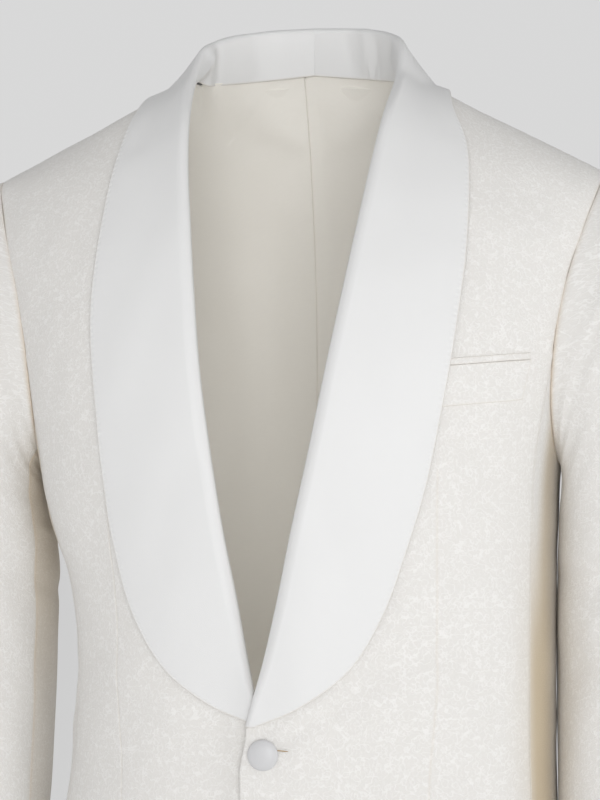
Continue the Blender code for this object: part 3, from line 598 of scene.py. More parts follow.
def closing(x, z, side):
    """How far a front stands off the form: out (left) or in (right) where the fronts overlap, and its
    folds."""
    depth = LIFT_OVER if side > 0 else -SINK_UNDER
    overlap = depth * (1 - ease(x, 0.018, 0.075)) * (1 - ease(z, -0.43, -0.34))
    overlap = overlap * (1 - NARROWER * ease(-z, 0.515, 0.560))
    return overlap + folded(x, z, FRONT_FOLDS)


def front_edge(z, lapel):
    """Inner edge of a front: behind the roll line, then the front edge and the rounded quarter."""
    roll = through(-lapel[:, 1], lapel[:, 0], np.clip(-z, 0.012, 0.485)) + ROLL + 0.003
    straight = -EDGE + 0.005 * ease(z, -0.52, BREAK)
    edge = roll + (straight - roll) * ease(-z, 0.4795, 0.4862)
    fall = np.clip((HEM + QUARTER - z) / QUARTER, 0, 1)
    return edge + (QUARTER + 0.010) * (1 - np.sqrt(1 - fall**2)) + 0.010 * ease(-z, 0.56, 0.75)


def as_hung(points, side):
    """The body as worn: its left side stands out at the waist and its right one is drawn in, by HANG."""
    hang = through(HANG[:, 0], HANG[:, 1:], np.clip(points[..., 2], HANG[0, 0], HANG[-1, 0]))
    out = hang[..., 0] if side > 0 else -hang[..., 1]
    points = points.copy()
    points[..., 0] += out * ease(points[..., 0], 0.085, 0.180)
    return points


def smooth_by_seam(x, z, seam_angle, joint_z):
    """How much of the cloth's creases is left: none along a side-body seam, all from CALM inside it. Above
    the seam's top, on the armhole, all of it."""
    inside = ease(ring_x(seam_angle, z) - np.abs(x), 0, CALM)
    return 1 - (1 - inside) * (1 - ease(z, joint_z, joint_z + 0.03))


def armhole_rows(turns, back=False):
    """x on the armhole at each turn, from the shoulder tip down."""
    z = ARMPIT + (ridge(TIP) - ARMPIT) * np.linspace(0, 1, 400) ** 0.5
    x = armhole_x(z, back)
    return np.interp(turns, turn_at(x, z), x)


def spaced(length, step, both=True, extra=()):
    """Shares from 0 to 1 of a length: an even step between, and the rim's small steps at one or both ends."""
    rim = RIM / length
    last = 1 - rim[-1] if both else 1.0
    even = np.linspace(rim[-1], last, max(3, round(length / step)))
    far = 1 - rim if both else [1.0]
    return np.unique(np.concatenate([rim, even, far, extra]))


def arc_over(turn, x=0.12):
    """Height of the cloth measured along the cloth: z below the chest, arc length above the chest line."""
    turns = np.linspace(0, 1, 200)
    arc = run_along(form(x, turns))
    front = np.where(turn > 1, 2 - turn, turn)
    return CHEST + np.where(front < 0, front, np.interp(front, turns, arc))


def runs(points):
    """Arc length along each row and down each column of a grid."""
    across = np.linalg.norm(np.diff(points, axis=1), axis=-1)
    down = np.linalg.norm(np.diff(points, axis=0), axis=-1)
    row_run = np.pad(np.cumsum(across, axis=1), ((0, 0), (1, 0)))
    column_run = np.pad(np.cumsum(down, axis=0), ((1, 0), (0, 0)))
    return row_run, column_run


def normals(points, outside):
    """Unit normals of a grid: down crossed with across, times 1 or -1 so that they face out."""
    return unit(np.cross(np.gradient(points, axis=0), np.gradient(points, axis=1)) * outside)


def rim_distances(points):
    """Distance of each grid point from the first row, last row, first column and last column: the run along
    its own column or row, times the sine of the angle at which that meets the border."""
    row_run, column_run = runs(points)

    def slant(border, step):
        along = np.gradient(border, axis=0)
        product = np.linalg.norm(along, axis=-1) * np.linalg.norm(step, axis=-1) + 1e-12
        return np.clip(np.linalg.norm(np.cross(along, step), axis=-1) / product, 0.05, 1)

    top = column_run * slant(points[0], points[3] - points[0])[None, :]
    foot = (column_run[-1:] - column_run) * slant(points[-1], points[-4] - points[-1])[None, :]
    first = row_run * slant(points[:, 0], points[:, 3] - points[:, 0])[:, None]
    last = (row_run[:, -1:] - row_run) * slant(points[:, -1], points[:, -4] - points[:, -1])[:, None]
    return [top, foot, first, last]


def rumple(u, v, seed, rise=0.00035):
    """Low uneven swell of worn cloth: three crossed sines whose phases are bent by a fourth."""
    bend = 1.3 * np.sin(21 * v + seed) + 0.9 * np.sin(17 * u - 2 * seed)
    swell = np.sin(61 * u + 23 * v + bend + seed)
    swell = swell + 0.7 * np.sin(-34 * u + 71 * v + 1.7 * bend + 2.1 * seed)
    swell = swell + 0.5 * np.sin(113 * u + 47 * v - 1.4 * bend + 0.7 * seed)
    return rise * swell


def mesh_object(name, points, quads, materials):
    """A mesh from arrays of points and of four-cornered faces, shaded smooth."""
    mesh = bpy.data.meshes.new(name)
    mesh.vertices.add(len(points))
    mesh.vertices.foreach_set("co", np.ascontiguousarray(points, np.float32).ravel())
    mesh.loops.add(quads.size)
    mesh.loops.foreach_set("vertex_index", np.ascontiguousarray(quads, np.int32).ravel())
    mesh.polygons.add(len(quads))
    mesh.polygons.foreach_set("loop_start", np.arange(0, quads.size, 4, dtype=np.int32))
    mesh.update(calc_edges=True)
    for material in materials:
        mesh.materials.append(material)
    mesh.shade_smooth()
    piece = bpy.data.objects.new(name, mesh)
    bpy.context.scene.collection.objects.link(piece)
    return piece


def grid_quads(numbers):
    """Faces between the rows and columns of a grid of vertex numbers, turning down and then across."""
    corners = [numbers[:-1, :-1], numbers[1:, :-1], numbers[1:, 1:], numbers[:-1, 1:]]
    return np.stack(corners, -1).reshape(-1, 4)


def set_cloth_map(piece, quads, cloth_map):
    """The cloth's own flat map, in metres."""
    layer = piece.data.uv_layers.new(name="cloth")
    layer.data.foreach_set("uv", np.ascontiguousarray(cloth_map[quads.ravel()], np.float32).ravel())


def set_mask(piece, name, values):
    """A number from 0 to 1 for each point."""
    layer = piece.data.attributes.new(name, "FLOAT", "POINT")
    layer.data.foreach_set("value", np.ascontiguousarray(values, np.float32))


def both_faces(grid):
    """Values of a grid for a wall's points: all of them for its outer face, then all but the border again."""
    inside = grid[1:-1, 1:-1]
    return np.concatenate([part.reshape(-1, *grid.shape[2:]) for part in (grid, inside)])


def wall(
        name, middle, normal, cloth_map, outside, side, thickness, sewn, outer, inner, shade_reach=SEAM_PAINTED_SHADE_REACH,
        edge=0.0, line=0.0):
    """A wall of cloth round a middle surface. Each point moves out and in along its normal by half the
    thickness times the height of a quarter ellipse over its distance from the nearest border, so that every
    edge is round. sewn gives for first row, last row, first column and last column how plain a seam is
    there, from 0 to 1, or None where the edge is free. At a seam the ellipse is narrow, the cloth dips by a
    bell curve, and small sine puckers cross it. The seam mask is painted shade: the argument after inner is
    how far a seam's painted shade reaches, edge the painted shade along the free edges and line the painted
    shade along a dart."""
    reach = rim_distances(middle)
    row_run, column_run = runs(middle)
    round_off = np.ones(middle.shape[:2])
    seam = np.zeros(middle.shape[:2]) + line
    dip = np.zeros(middle.shape[:2])
    for place, run in enumerate((row_run, row_run, column_run, column_run)):
        distance = reach[place]
        if sewn[place] is None:
            width = thickness / 2
            seam = np.maximum(seam, edge * bell(distance, SEAM_PAINTED_SHADE_REACH))
        else:
            plain = np.broadcast_to(sewn[place], middle.shape[1 if place < 2 else 0])
            plain = plain[:, None] if place > 1 else plain[None, :]
            width = SEWN_RIM * (0.3 + 0.7 * plain)
            seam = np.maximum(seam, plain * bell(distance, shade_reach))
            dip = np.maximum(dip, plain * SEAM_SINK * bell(distance, SEAM_DIP))
            ripple = np.sin(2 * math.pi * run / PUCKER_PITCH + 2.2 * np.sin(run / 0.031))
            dip = dip + plain * PUCKER * ripple * np.exp(-distance / PUCKER_REACH)
        near = np.clip(distance / width, 0, 1)
        round_off = np.minimum(round_off, np.sqrt(1 - (1 - near) ** 2))
    middle = middle - normal * dip[..., None]
    half = (thickness / 2 * round_off)[..., None]
    rows, columns = middle.shape[:2]
    front_numbers = np.arange(rows * columns).reshape(rows, columns)
    back_numbers = front_numbers.copy()
    inside = np.arange((rows - 2) * (columns - 2)).reshape(rows - 2, columns - 2)
    back_numbers[1:-1, 1:-1] = rows * columns + inside
    front = (middle + normal * half).reshape(-1, 3)
    back = (middle - normal * half)[1:-1, 1:-1].reshape(-1, 3)
    points = on_side(np.concatenate([front, back]), side)
    front_quads = grid_quads(front_numbers)
    back_quads = grid_quads(back_numbers)[:, ::-1]
    quads = np.concatenate([front_quads, back_quads])
    if outside * side < 0:
        quads = quads[:, ::-1]
    piece = mesh_object(name, points, quads, [outer, inner])
    piece.data.polygons.foreach_set("material_index", np.repeat([0, 1], [len(front_quads), len(back_quads)]))
    set_cloth_map(piece, quads, both_faces(cloth_map))
    # the seam mask is painted shade along seams, free edges and darts
    set_mask(piece, "seam", both_faces(seam))
    return piece


def at_armhole(z):
    """How plainly the armhole's seam shows at a height: fully at its foot, as ARMHOLE_SEAM says above."""
    return 1 - (1 - ARMHOLE_SEAM) * ease(z, -0.25, -0.14)


def set_painted_under_shade(piece, middle, values):
    """The mask of painted shade on cloth that lies under an arm."""
    set_mask(piece, "under", both_faces(np.broadcast_to(values, middle.shape[:2])))


def declare(piece, node=None):
    """Attaches a piece to the jacket's root and hides the CAD node that it stands for, if one is given."""
    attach(piece, "root")
    if node:
        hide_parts(node)


def as_cloth(piece, node):
    """Attaches a finished sheet to the jacket and hides the CAD node that it stands for. A strip being at
    least 10 mm wide with its turned edge.
    """
    declare(piece, node)


# ------------------------------------------------------------------ body pieces
def uneven_front(x, z, turn, side):
    """A front's creases and rumples, which die away at the side-body seam with its largest folds."""
    creases = LEFT_FRONT_CREASES if side > 0 else RIGHT_FRONT_CREASES
    calm = smooth_by_seam(x, z, FRONT_SEAM, float(armhole_height(FRONT_SEAM)))
    fine = folded(x, z, creases) + rumple(x, arc_over(turn), 1.0 + side)
    return fine * calm - folded(x, z, FRONT_FOLDS) * (1 - calm)


def joined(upper_x, upper_turn, lower_x, lower_turn):
    """x and turn down one edge of a body piece, its upper part and then its lower part."""
    return np.concatenate([np.stack([upper_x, upper_turn], -1), np.stack([lower_x, lower_turn], -1)])


def between_edges(inner, outer, share_across):
    """Grid of x and turn that change evenly from an inner to an outer edge with the share across."""
    share_across = np.atleast_2d(share_across)[..., None]
    return inner[:, None, :] * (1 - share_across) + outer[:, None, :] * share_across


def front_middle(side):
    """A front. Its rows run from the roll line and front edge to the armhole and side seam; on each, x and
    turn change evenly between the two edges. It stands off the form by closing(), creases and dart."""
    lapel = LEFT_LAPEL if side > 0 else RIGHT_LAPEL
    joint_z = float(armhole_height(FRONT_SEAM))
    joint_x = float(ring_x(FRONT_SEAM, joint_z))
    joint_turn = float(turn_at(joint_x, joint_z))
    upper = spaced(0.26, ROW_STEP, both=False)[:-1]
    upper_turn = 1 + (joint_turn - 1) * upper
    z = np.linspace(-0.004, -0.30, 600)
    x = front_edge(z, lapel)
    edge_x = np.interp(-upper_turn, -turn_at(x, z), x)
    edge_x = NECK_POINT + (edge_x - NECK_POINT) * ease(upper, 0, 0.14)
    at_break = (BODICE_TOP - BREAK) / (BODICE_TOP - HEM)
    quarter_start = 1 - QUARTER / (BODICE_TOP - HEM)
    straight = np.linspace(0, quarter_start, 130)
    by_break = np.linspace(at_break - 0.002, at_break + 0.013, 14)
    quarter = quarter_start + (1 - quarter_start) * np.sin(np.linspace(0, math.pi / 2, 40))[1:]
    drop = np.concatenate([np.unique(np.concatenate([straight, by_break])), quarter])
    in_z = BODICE_TOP + (HEM - BODICE_TOP) * drop
    out_z = joint_z + (HEM - joint_z) * drop
    in_x = front_edge(in_z, lapel)
    out_x = ring_x(FRONT_SEAM, out_z)
    inner = joined(edge_x, upper_turn, in_x, turn_at(in_x, in_z))
    outer = joined(armhole_rows(upper_turn), upper_turn, out_x, turn_at(out_x, out_z))
    by_dart = DART_SHARE + np.linspace(-0.014, 0.014, 9)
    share_across = spaced(0.155, COLUMN_STEP, extra=by_dart) * (1 - SEAM / 2 / 0.15)
    dart_z = in_z + (out_z - in_z) * DART_SHARE
    dart_x = np.interp(-dart_z, (-DART[0][1], -DART[1][1]), (DART[0][0], DART[1][0]))
    move = np.clip((dart_x - in_x) / (out_x - in_x) - DART_SHARE, -0.1, 0.1)
    move = np.concatenate([np.linspace(0, move[0], len(upper)), move])
    near = bell(share_across - DART_SHARE, 0.16) * ease(1 - share_across, 0, 0.12)
    grid = between_edges(inner, outer, share_across + move[:, None] * near)
    grid[0, :, 1] -= RIDGE_GAP
    x, turn = grid[..., 0], grid[..., 1]
    flat = form(x, turn)
    z = flat[..., 2]
    dart = folded(x, z, [(*DART[0], *DART[1], DART_WIDTH, -DART_GROOVE)])
    height = closing(x, z, side) + dart + uneven_front(x, z, turn, side)
    normal = outward(x, turn)
    middle = flat + normal * height[..., None]
    row_run = runs(middle)[0]
    cloth_map = np.stack([x[:, :1] + row_run, arc_over(turn)], -1)
    at_side = np.where(np.arange(len(middle)) < len(upper), at_armhole(middle[:, -1, 2]), SIDE_SEAM)
    # painted shade along the dart
    line = folded(x, z, [(*DART[0], *DART[1], *DART_PAINTED_SHADE)])
    return as_hung(middle, side), normal, cloth_map, at_side, line


def neck_fit(middle, neck_rows):
    """A lining whose neck edge lies on the foot of the collar's stand, just behind and above it. Each point
    near the neck moves by the step from the old edge to the new one at its x, fading down and outwards."""
    edge = middle[:neck_rows, 0][::-1]
    foot = through(NECK_FOOT[:, 0], NECK_FOOT[:, 1:], np.clip(edge[:, 0], 0, NECK_FOOT[-1, 0]))
    shift = foot + LINING_NECK - edge[:, 1:]
    x, z = np.abs(middle[..., 0]), middle[..., 2]
    below = np.interp(x, edge[:, 0], edge[:, 2]) - z
    near = (1 - ease(below, 0.0, 0.030)) * (1 - ease(x, 0.078, 0.092))
    middle = middle.copy()
    middle[..., 1] += np.interp(x, edge[:, 0], shift[:, 0]) * near
    middle[..., 2] += np.interp(x, edge[:, 0], shift[:, 1]) * near
    return middle


def back_middle(side, sink=0.0, first=CENTRE_GAP, neck=NECK_POINT, creases=(), inset=0.0):
    """A back half, from the back neck and the centre seam to the armhole and the side-body seam; on each row
    x and turn change evenly between the two edges. A lining is sunk inside it and short by its inset."""
    joint_z = float(armhole_height(BACK_SEAM, back=True))
    joint_x = float(ring_x(BACK_SEAM, joint_z))
    joint_turn = 2 - float(turn_at(joint_x, joint_z))
    coarse = LINING_COARSE if inset else 1.0
    lean = spaced(0.085, ROW_STEP, both=False) * math.pi / 2
    neck_turn = 1 + (BACK_NECK_TURN - 1) * np.sin(lean)
    upper_turn = np.concatenate([neck_turn, np.linspace(BACK_NECK_TURN, joint_turn, 50)[1:-1]])
    edge_x = np.concatenate([first + (neck - first) * np.cos(lean), np.full(48, first)])
    last_drop = 1 - inset / (joint_z - HEM)
    drop = spaced((joint_z - HEM) * last_drop, ROW_STEP * coarse)
    drop = drop[(drop == 0) | (drop > 0.004)] * last_drop
    start_z = float(form(first, joint_turn)[2])
    in_z = start_z + (HEM - start_z) * drop
    out_z = joint_z + (HEM - joint_z) * drop
    out_x = ring_x(BACK_SEAM, out_z)
    inner = joined(edge_x, upper_turn, np.full_like(in_z, first), 2 - turn_at(first, in_z))
    outer = joined(armhole_rows(2 - upper_turn, back=True), upper_turn, out_x, 2 - turn_at(out_x, out_z))
    share_across = spaced(0.16, COLUMN_STEP * coarse) * (1 - (SEAM / 2 + inset) / 0.14)
    grid = between_edges(inner, outer, share_across)
    grid[0, :, 1] += RIDGE_GAP + inset
    x, turn = grid[..., 0], grid[..., 1]
    flat = form(x, turn)
    z = flat[..., 2]
    height = folded(np.abs(x), z, BACK_FOLDS) + rumple(x, arc_over(turn), 3.0 + side)
    if len(creases):
        height = height + folded(x, z, creases)
    height = height * smooth_by_seam(x, z, BACK_SEAM, joint_z) - sink
    normal = outward(x, turn)
    middle = flat + normal * height[..., None]
    if inset:
        middle = neck_fit(middle, len(lean))
    row_run = runs(middle)[0]
    cloth_map = np.stack([x[:, :1] + row_run, arc_over(turn)], -1)
    row = np.arange(len(middle))
    at_centre = np.where(row < len(lean), 0.0, 0.12 if inset else 0.35)
    at_side = np.where(row < len(upper_turn), at_armhole(middle[:, -1, 2]), SIDE_SEAM)
    return as_hung(middle, side), normal, cloth_map, at_centre, at_side


def side_middle(side):
    """A side body: level rings from the front seam to the back seam, under the round foot of the armhole,
    lifted by creases that die away at both seams."""
    share_across = spaced(0.13, COLUMN_STEP)
    angle_span = FRONT_SEAM + (BACK_SEAM - FRONT_SEAM) * share_across
    before = angle_span <= 90
    top_z = np.concatenate([
        armhole_height(angle_span[before]), armhole_height(angle_span[~before], back=True)])
    drop = spaced(0.46, ROW_STEP)[:, None]
    z = top_z - 0.0001 + (HEM + 0.0001 - top_z) * drop
    trim = SEAM / 1.7 / 0.11 * (BACK_SEAM - FRONT_SEAM)
    angle = FRONT_SEAM + trim + (BACK_SEAM - FRONT_SEAM - 2 * trim) * share_across[None, :]
    flat = ring(np.broadcast_to(angle, z.shape), z)
    normal = normals(flat, 1)
    row_run = runs(flat)[0]
    cloth_map = np.stack([0.20 + row_run, z], -1)
    height = folded(cloth_map[..., 0], z, SIDE_CREASES) + rumple(cloth_map[..., 0], z, 5.0 + side)
    height = height * ease(row_run, 0, CALM) * ease(row_run[:, -1:] - row_run, 0, CALM)
    if side > 0:
        height = height * 0.25
    return as_hung(flat + normal * height[..., None], side), normal, cloth_map


def under_arm_painted_shade(middle, side):
    """Painted shade where the sleeve keeps the light from a side body: on both under the armpit, from an
    eighth to a quarter of the way round, and on the left, where the sleeve lies against it, all the way down
    as well."""
    round_it = np.linspace(0, 1, middle.shape[1])[None, :]
    low = ease(-middle[..., 2], 0.31, 0.46)
    at_top = 0.75 * ease(round_it, 0.10, 0.24)
    if side < 0:
        return at_top * (1 - low)
    at_waist = 0.35 + 0.65 * ease(round_it, 0, 0.14)
    return (at_top + (at_waist - at_top) * low) * (1 - 0.6 * ease(round_it, 0.2, 0.5))


def body(finishes):
    """Fronts, side bodies, backs and their lining."""
    jacquard, lining = finishes["jacquard"], finishes["lining"]
    for side, word in SIDES:
        flip = np.array([side, 1])
        middle, normal, cloth_map, at_side, line = front_middle(side)
        piece = wall(
            f"front_{word}_cloth", middle, normal, cloth_map * flip, 1, side, CLOTH,
            (0.6, None, None, at_side), jacquard, lining, BODY_PAINTED_SHADE_REACH, line=line)
        if side > 0:
            # painted shade on the left front's outer edge, below the armpit
            outer = ease(np.linspace(0, 1, middle.shape[1]), 0.88, 1)[None, :]
            set_painted_under_shade(piece, middle, 0.35 * outer * ease(-middle[..., 2], 0.31, 0.46))
        as_cloth(piece, f"front_{word}")
        middle, normal, cloth_map = side_middle(side)
        piece = wall(
            f"side_{word}_cloth", middle, normal, cloth_map * flip, 1, side, CLOTH,
            (1.0, None, SIDE_SEAM, SIDE_SEAM), jacquard, lining, BODY_PAINTED_SHADE_REACH)
        # painted shade under the arm
        set_painted_under_shade(piece, middle, under_arm_painted_shade(middle, side))
        as_cloth(piece, f"side_{word}")
        creases = LEFT_BACK_CREASES if side > 0 else RIGHT_BACK_CREASES
        middle, normal, cloth_map, at_centre, at_side = back_middle(side, creases=creases)
        piece = wall(
            f"back_{word}_cloth", middle, normal, cloth_map * flip, -1, side, CLOTH,
            (0.6, None, at_centre, at_side), jacquard, lining)
        as_cloth(piece, f"back_{word}")
        first = -side * PLEAT
        middle, normal, cloth_map, at_centre, at_side = back_middle(
            side, LINING_SINK, first, NECK_POINT + 0.006, LINING_CREASES, LINING_IN)
        piece = wall(
            f"lining_back_{word}_cloth", middle, normal, cloth_map * flip, -1, side, LINING,
            (0.3, None, at_centre, 0.3), lining, lining)
        as_cloth(piece, f"lining_back_{word}")


# ------------------------------------------------------------------ sleeves
def armhole_loop(degrees):
    """Armhole seam by the sleeve's own angle: 0 at the shoulder tip, 90 in front, 180 at the armpit."""
    angle = np.radians(degrees)
    top = float(ridge(TIP))
    z = ARMPIT + (top - ARMPIT) * (1 + np.cos(angle)) / 2
    front = np.sin(angle) >= 0
    x = np.where(front, armhole_x(z), armhole_x(z, back=True))
    turn = turn_at(x, np.minimum(z, ridge(x)))
    return form(x, np.where(front, turn, 2 - turn))


def turned_from(degrees, at):
    """Degrees round from a place, between -180 and 180."""
    return (degrees - at + 180) % 360 - 180


def sleeve(degrees, along, side):
    """Sleeve surface: rings that fan out from the armhole and then go down the arm. A ring is an oval in the
    plane of its outer and inner point, swollen by its folds and moved as a whole where the sleeve leans."""
    degrees, along = np.broadcast_arrays(np.asarray(degrees, float), np.asarray(along, float))
    angle = np.radians(degrees)
    cosine = np.cos(angle)
    radial = round_power(cosine, 2 / SLEEVE_POWER)
    sideways = round_power(np.sin(angle), 2 / SLEEVE_POWER)

    def oval(row, swell):
        outer, inner = row[..., 0:2], row[..., 2:4]
        flat = (outer + inner) / 2 + (outer - inner) / 2 * (radial * swell)[..., None]
        return np.stack([flat[..., 0], row[..., 4] - row[..., 5] * sideways * swell, flat[..., 1]], -1)

    swell = np.ones(angle.shape)
    for at, round_at, half_length, half_angle, rise in SLEEVE_FOLDS:
        turned_by = turned_from(degrees, round_at)
        swell = swell + rise * bell(along - at, half_length) * bell(turned_by, half_angle)
    points = oval(through(np.linspace(0, 1, len(SLEEVE)), SLEEVE, along), swell)
    for round_at, at, half_angle, half_length, out, back in LEFT_LEAN if side > 0 else RIGHT_LEAN:
        near = bell(along - at, half_length) * bell(turned_from(degrees, round_at), half_angle)
        points += near[..., None] * (out, back, 0)
    start = oval(SLEEVE[0], 1.0)
    under = ease(-cosine, 0.2, 1)
    clear = ease(along, 0, UNDERARM_TURN)
    target = armhole_loop(degrees)
    target[..., 0] += SLEEVE_OFF + UNDERARM_OFF * under * clear
    target[..., 2] += UNDERARM_LIFT * under * (1 - clear)
    fade = (1 - np.clip(along / CAP_SHARE, 0, 1)) ** 2
    return points + (target - start) * fade[..., None]


def sleeve_middle(side, under, creases, seed):
    """Part of a sleeve between two seams. Its head rolls over the armhole seam, and it stands off the
    sleeve's surface by its creases and rumples. Its cloth map runs down from the armhole's own height."""
    along = spaced(0.66, ROW_STEP)[:, None]
    front = FRONT_SLEEVE_SEAM + (LEFT_SEAM_TURN if side > 0 else 0)
    first, last = (front, BACK_SLEEVE_SEAM) if under else (BACK_SLEEVE_SEAM - 360, front)
    share_round = spaced(0.11 if under else 0.24, COLUMN_STEP)[None, :]
    degrees = first + SLEEVE_GAP + (last - first - 2 * SLEEVE_GAP) * share_round
    flat = sleeve(degrees, along, side)
    u = np.broadcast_to(degrees * SLEEVE_ROUND / 360, flat.shape[:2])
    v = np.broadcast_to(-along * SLEEVE_DOWN, flat.shape[:2])
    normal = normals(flat, -1)
    over = ease(np.cos(np.radians(degrees)), -0.3, 0.5)
    roping = ROPING * over * along / ROPING_AT * np.exp(1 - along / ROPING_AT)
    still = ease(along, 0, 0.03)
    if side > 0:
        still = still * (1 - 0.85 * bell(turned_from(degrees, 185), 38))
    height = roping + (folded(u, v, creases) + rumple(u, v, seed, 0.00045)) * still
    return flat + normal * height[..., None], normal, np.stack([u, flat[:1, :, 2] - runs(flat)[1]], -1)


def sleeves(finishes):
    """Top and under sleeves, from the armhole to the cuff."""
    for side, word in SIDES:
        creases = LEFT_SLEEVE_CREASES if side > 0 else RIGHT_SLEEVE_CREASES
        for part in ("top", "under"):
            middle, normal, cloth_map = sleeve_middle(side, part == "under", creases, 7.0 + side)
            sewn = (at_armhole(middle[0, :, 2]), None, 0.4, 0.15)
            piece = wall(
                f"{part}_sleeve_{word}_cloth", middle, normal, cloth_map * np.array([side, 1]), -1, side,
                CLOTH, sewn, finishes["jacquard"], finishes["lining"], SLEEVE_PAINTED_SHADE_REACH)
            if part == "under":
                # painted shade over the under sleeve, lighter further down
                across = 0.4 + 0.2 * np.linspace(0, 1, middle.shape[1])[None, :] ** 0.5
                set_painted_under_shade(piece, middle, across * (1 - 0.5 * ease(-middle[..., 2], 0.40, 0.52)))
            as_cloth(
                piece, f"{part}_sleeve_{word}")


# ------------------------------------------------------------------ shawl collar
def shawl_lines(side):
    """Roll line, outer edge and inner edge of one half, from the centre back down to the lapel's end."""
    lapel = LEFT_LAPEL if side > 0 else RIGHT_LAPEL
    roll = on_front(lapel[:, 0], lapel[:, 1], side, 0)
    edge = on_front(lapel[:, 2], lapel[:, 3], side, 0)
    inner = on_front(lapel[:, 0] + lapel[:, 4], lapel[:, 1] - 0.2 * lapel[:, 4], side, 0)
    neck_and_chest = ((NECK_ROLL, roll), (NECK_EDGE, edge), (NECK_FOOT, inner))
    return [np.concatenate(line) for line in neck_and_chest]


def clearance(points):
    """Distance of points out from the body form, to first order, and the unit direction out: a field that is
    0 on the form, divided by its slope."""

    def field(p):
        x, y, z = p[..., 0], p[..., 1], p[..., 2]
        half_width, front, back = level(z)
        depth = np.where(y < 0, front, back)
        rise = np.clip((z - CHEST) / (ridge(x) - CHEST), 0, None)
        full = share(x, half_width) ** ARCH_POWER
        return np.abs(y / depth) ** ARCH_POWER - full * (1 - rise**2)

    slope = np.stack([(field(points + s) - field(points - s)) / (2 * STEP) for s in np.eye(3) * STEP], -1)
    size = np.linalg.norm(slope, axis=-1)
    return field(points) / size, slope / size[..., None]


def lay(points, height, way=1):
    """Points lifted off the body form to at least a height, or with way -1 pushed inside it to at least a
    depth: each moves by half of what it lacks plus a rounded size of that, four times over."""
    for _ in range(4):
        away, out = clearance(points)
        short = height - way * away
        points = points + way * out * ((short + np.sqrt(short**2 + 1e-7)) / 2)[..., None]
    return points


def shawl_middle(side):
    """One satin half as a profile carried down the roll line: stand or facing, half circle of the rolled
    fold, then fall or lapel. Its outer edge is drawn in a little at each pick stitch."""
    knots = np.linspace(0, 1, len(NECK_ROLL) + len(LEFT_LAPEL))
    at = np.linspace(0, 1, 4001)
    roll, edge, inner = (through(knots, line, at) for line in shawl_lines(side))
    edge_run = run_along(edge)
    stations = spaced(edge_run[-1], SHAWL_STEP)
    at = np.interp(stations * edge_run[-1], edge_run, at)
    roll, edge, inner = (through(knots, line, at) for line in shawl_lines(side))
    tangent = np.gradient(roll, axis=0)
    tangent[0] = (1, 0, 0)
    down = unit(unit(edge - roll) + unit(inner - roll))
    away = unit(np.cross(tangent, down))
    by_end = ease(at, 0.84, 0.95)[:, None]
    rest = REST * (1 - 0.43 * by_end)
    radius = ROLL * (1 - 0.25 * by_end)
    centre = roll + down * radius
    on_neck = 1 - ease(at, 0.16, 0.25)[:, None]

    start = centre + away * radius
    width = np.linalg.norm(edge - start, axis=-1)[:, None]
    rim = LAPEL_RIM[None, ::-1] * np.minimum(1, width / 0.02) / width
    v = np.linspace(0, 1, 17)[None, :-1] * (1 - rim[:, :1])
    v = np.concatenate([v, 1 - rim], axis=1)[..., None]
    outer_leg = start[:, None] * (1 - v) + edge[:, None] * v
    spread = closing(outer_leg[..., 0], outer_leg[..., 2], side)
    outer_leg = lay(outer_leg, rest + spread)

    v = np.concatenate([1 - RIM / 0.02, np.linspace(0.86, 0, 7)])[None, :, None]
    start = centre - away * radius
    inner_leg = start[:, None] * (1 - v) + inner[:, None] * v
    spread = closing(inner_leg[..., 0], inner_leg[..., 2], side)
    tucked = lay(inner_leg, CLOTH / 2 + SATIN / 2 + 0.0005 - spread, -1)
    inner_leg = inner_leg * on_neck[:, None] + tucked * (1 - on_neck[:, None])

    bend = np.radians(np.linspace(-90, 90, 9)[1:-1])[None, :, None]
    reach = radius[:, None]
    fold = centre[:, None] - down[:, None] * reach * np.cos(bend) + away[:, None] * reach * np.sin(bend)
    middle = np.concatenate([inner_leg, fold, outer_leg], axis=1)

    row_run = runs(middle)[0]
    u = row_run - row_run[:, 15:16]
    v = -np.broadcast_to(run_along(roll)[:, None], u.shape)
    normal = normals(middle, 1)
    creases = LEFT_SHAWL_CREASES if side > 0 else RIGHT_SHAWL_CREASES
    fade = ease(np.abs(u), 0.002, 0.012)
    swell = folded(u, v, creases) + rumple(u, v, 11.0 + side, 0.00025) * fade
    from_edge = row_run[:, -1:] - row_run
    beat = ((0.5 + 0.5 * np.cos(2 * math.pi * run_along(middle[:, -1]) / STITCH_PITCH)) ** 2)[:, None]
    dimple = STITCH_DIMPLE * beat * bell(from_edge - STITCH_INSET, 0.0011)
    inward = unit(middle[:, -6:-5] - middle[:, -1:])
    scallop = STITCH_SCALLOP * beat * bell(from_edge, 0.003)
    middle = middle + normal * (swell - dimple)[..., None] + inward * scallop[..., None]
    return middle, normal, np.stack([u, v], -1)


def around(count):
    """Angles at even steps round a circle."""
    return np.linspace(0, 2 * math.pi, count + 1)[:-1]


def capsules(name, places, along, normal, length, radius, material):
    """Short threads as one mesh: each is a round bar whose radius follows half an ellipse from end to end."""
    angle = around(6)
    stage = np.linspace(-1, 1, 7)
    swell = np.sqrt(np.clip(1 - stage**2, 0.0004, 1))
    across = np.cross(normal, along)
    bar = (
        places[:, None, None] + along[:, None, None] * (stage * length / 2)[None, :, None, None]
        + across[:, None, None] * (radius * swell[:, None] * np.cos(angle))[None, :, :, None]
        + normal[:, None, None] * (radius * swell[:, None] * np.sin(angle))[None, :, :, None])
    numbers = np.arange(bar.size // 3).reshape(bar.shape[:3])
    numbers = np.concatenate([numbers, numbers[:, :, :1]], axis=2)
    corners = [numbers[:, :-1, :-1], numbers[:, :-1, 1:], numbers[:, 1:, 1:], numbers[:, 1:, :-1]]
    return mesh_object(name, bar.reshape(-1, 3), np.stack(corners, -1).reshape(-1, 4), [material])


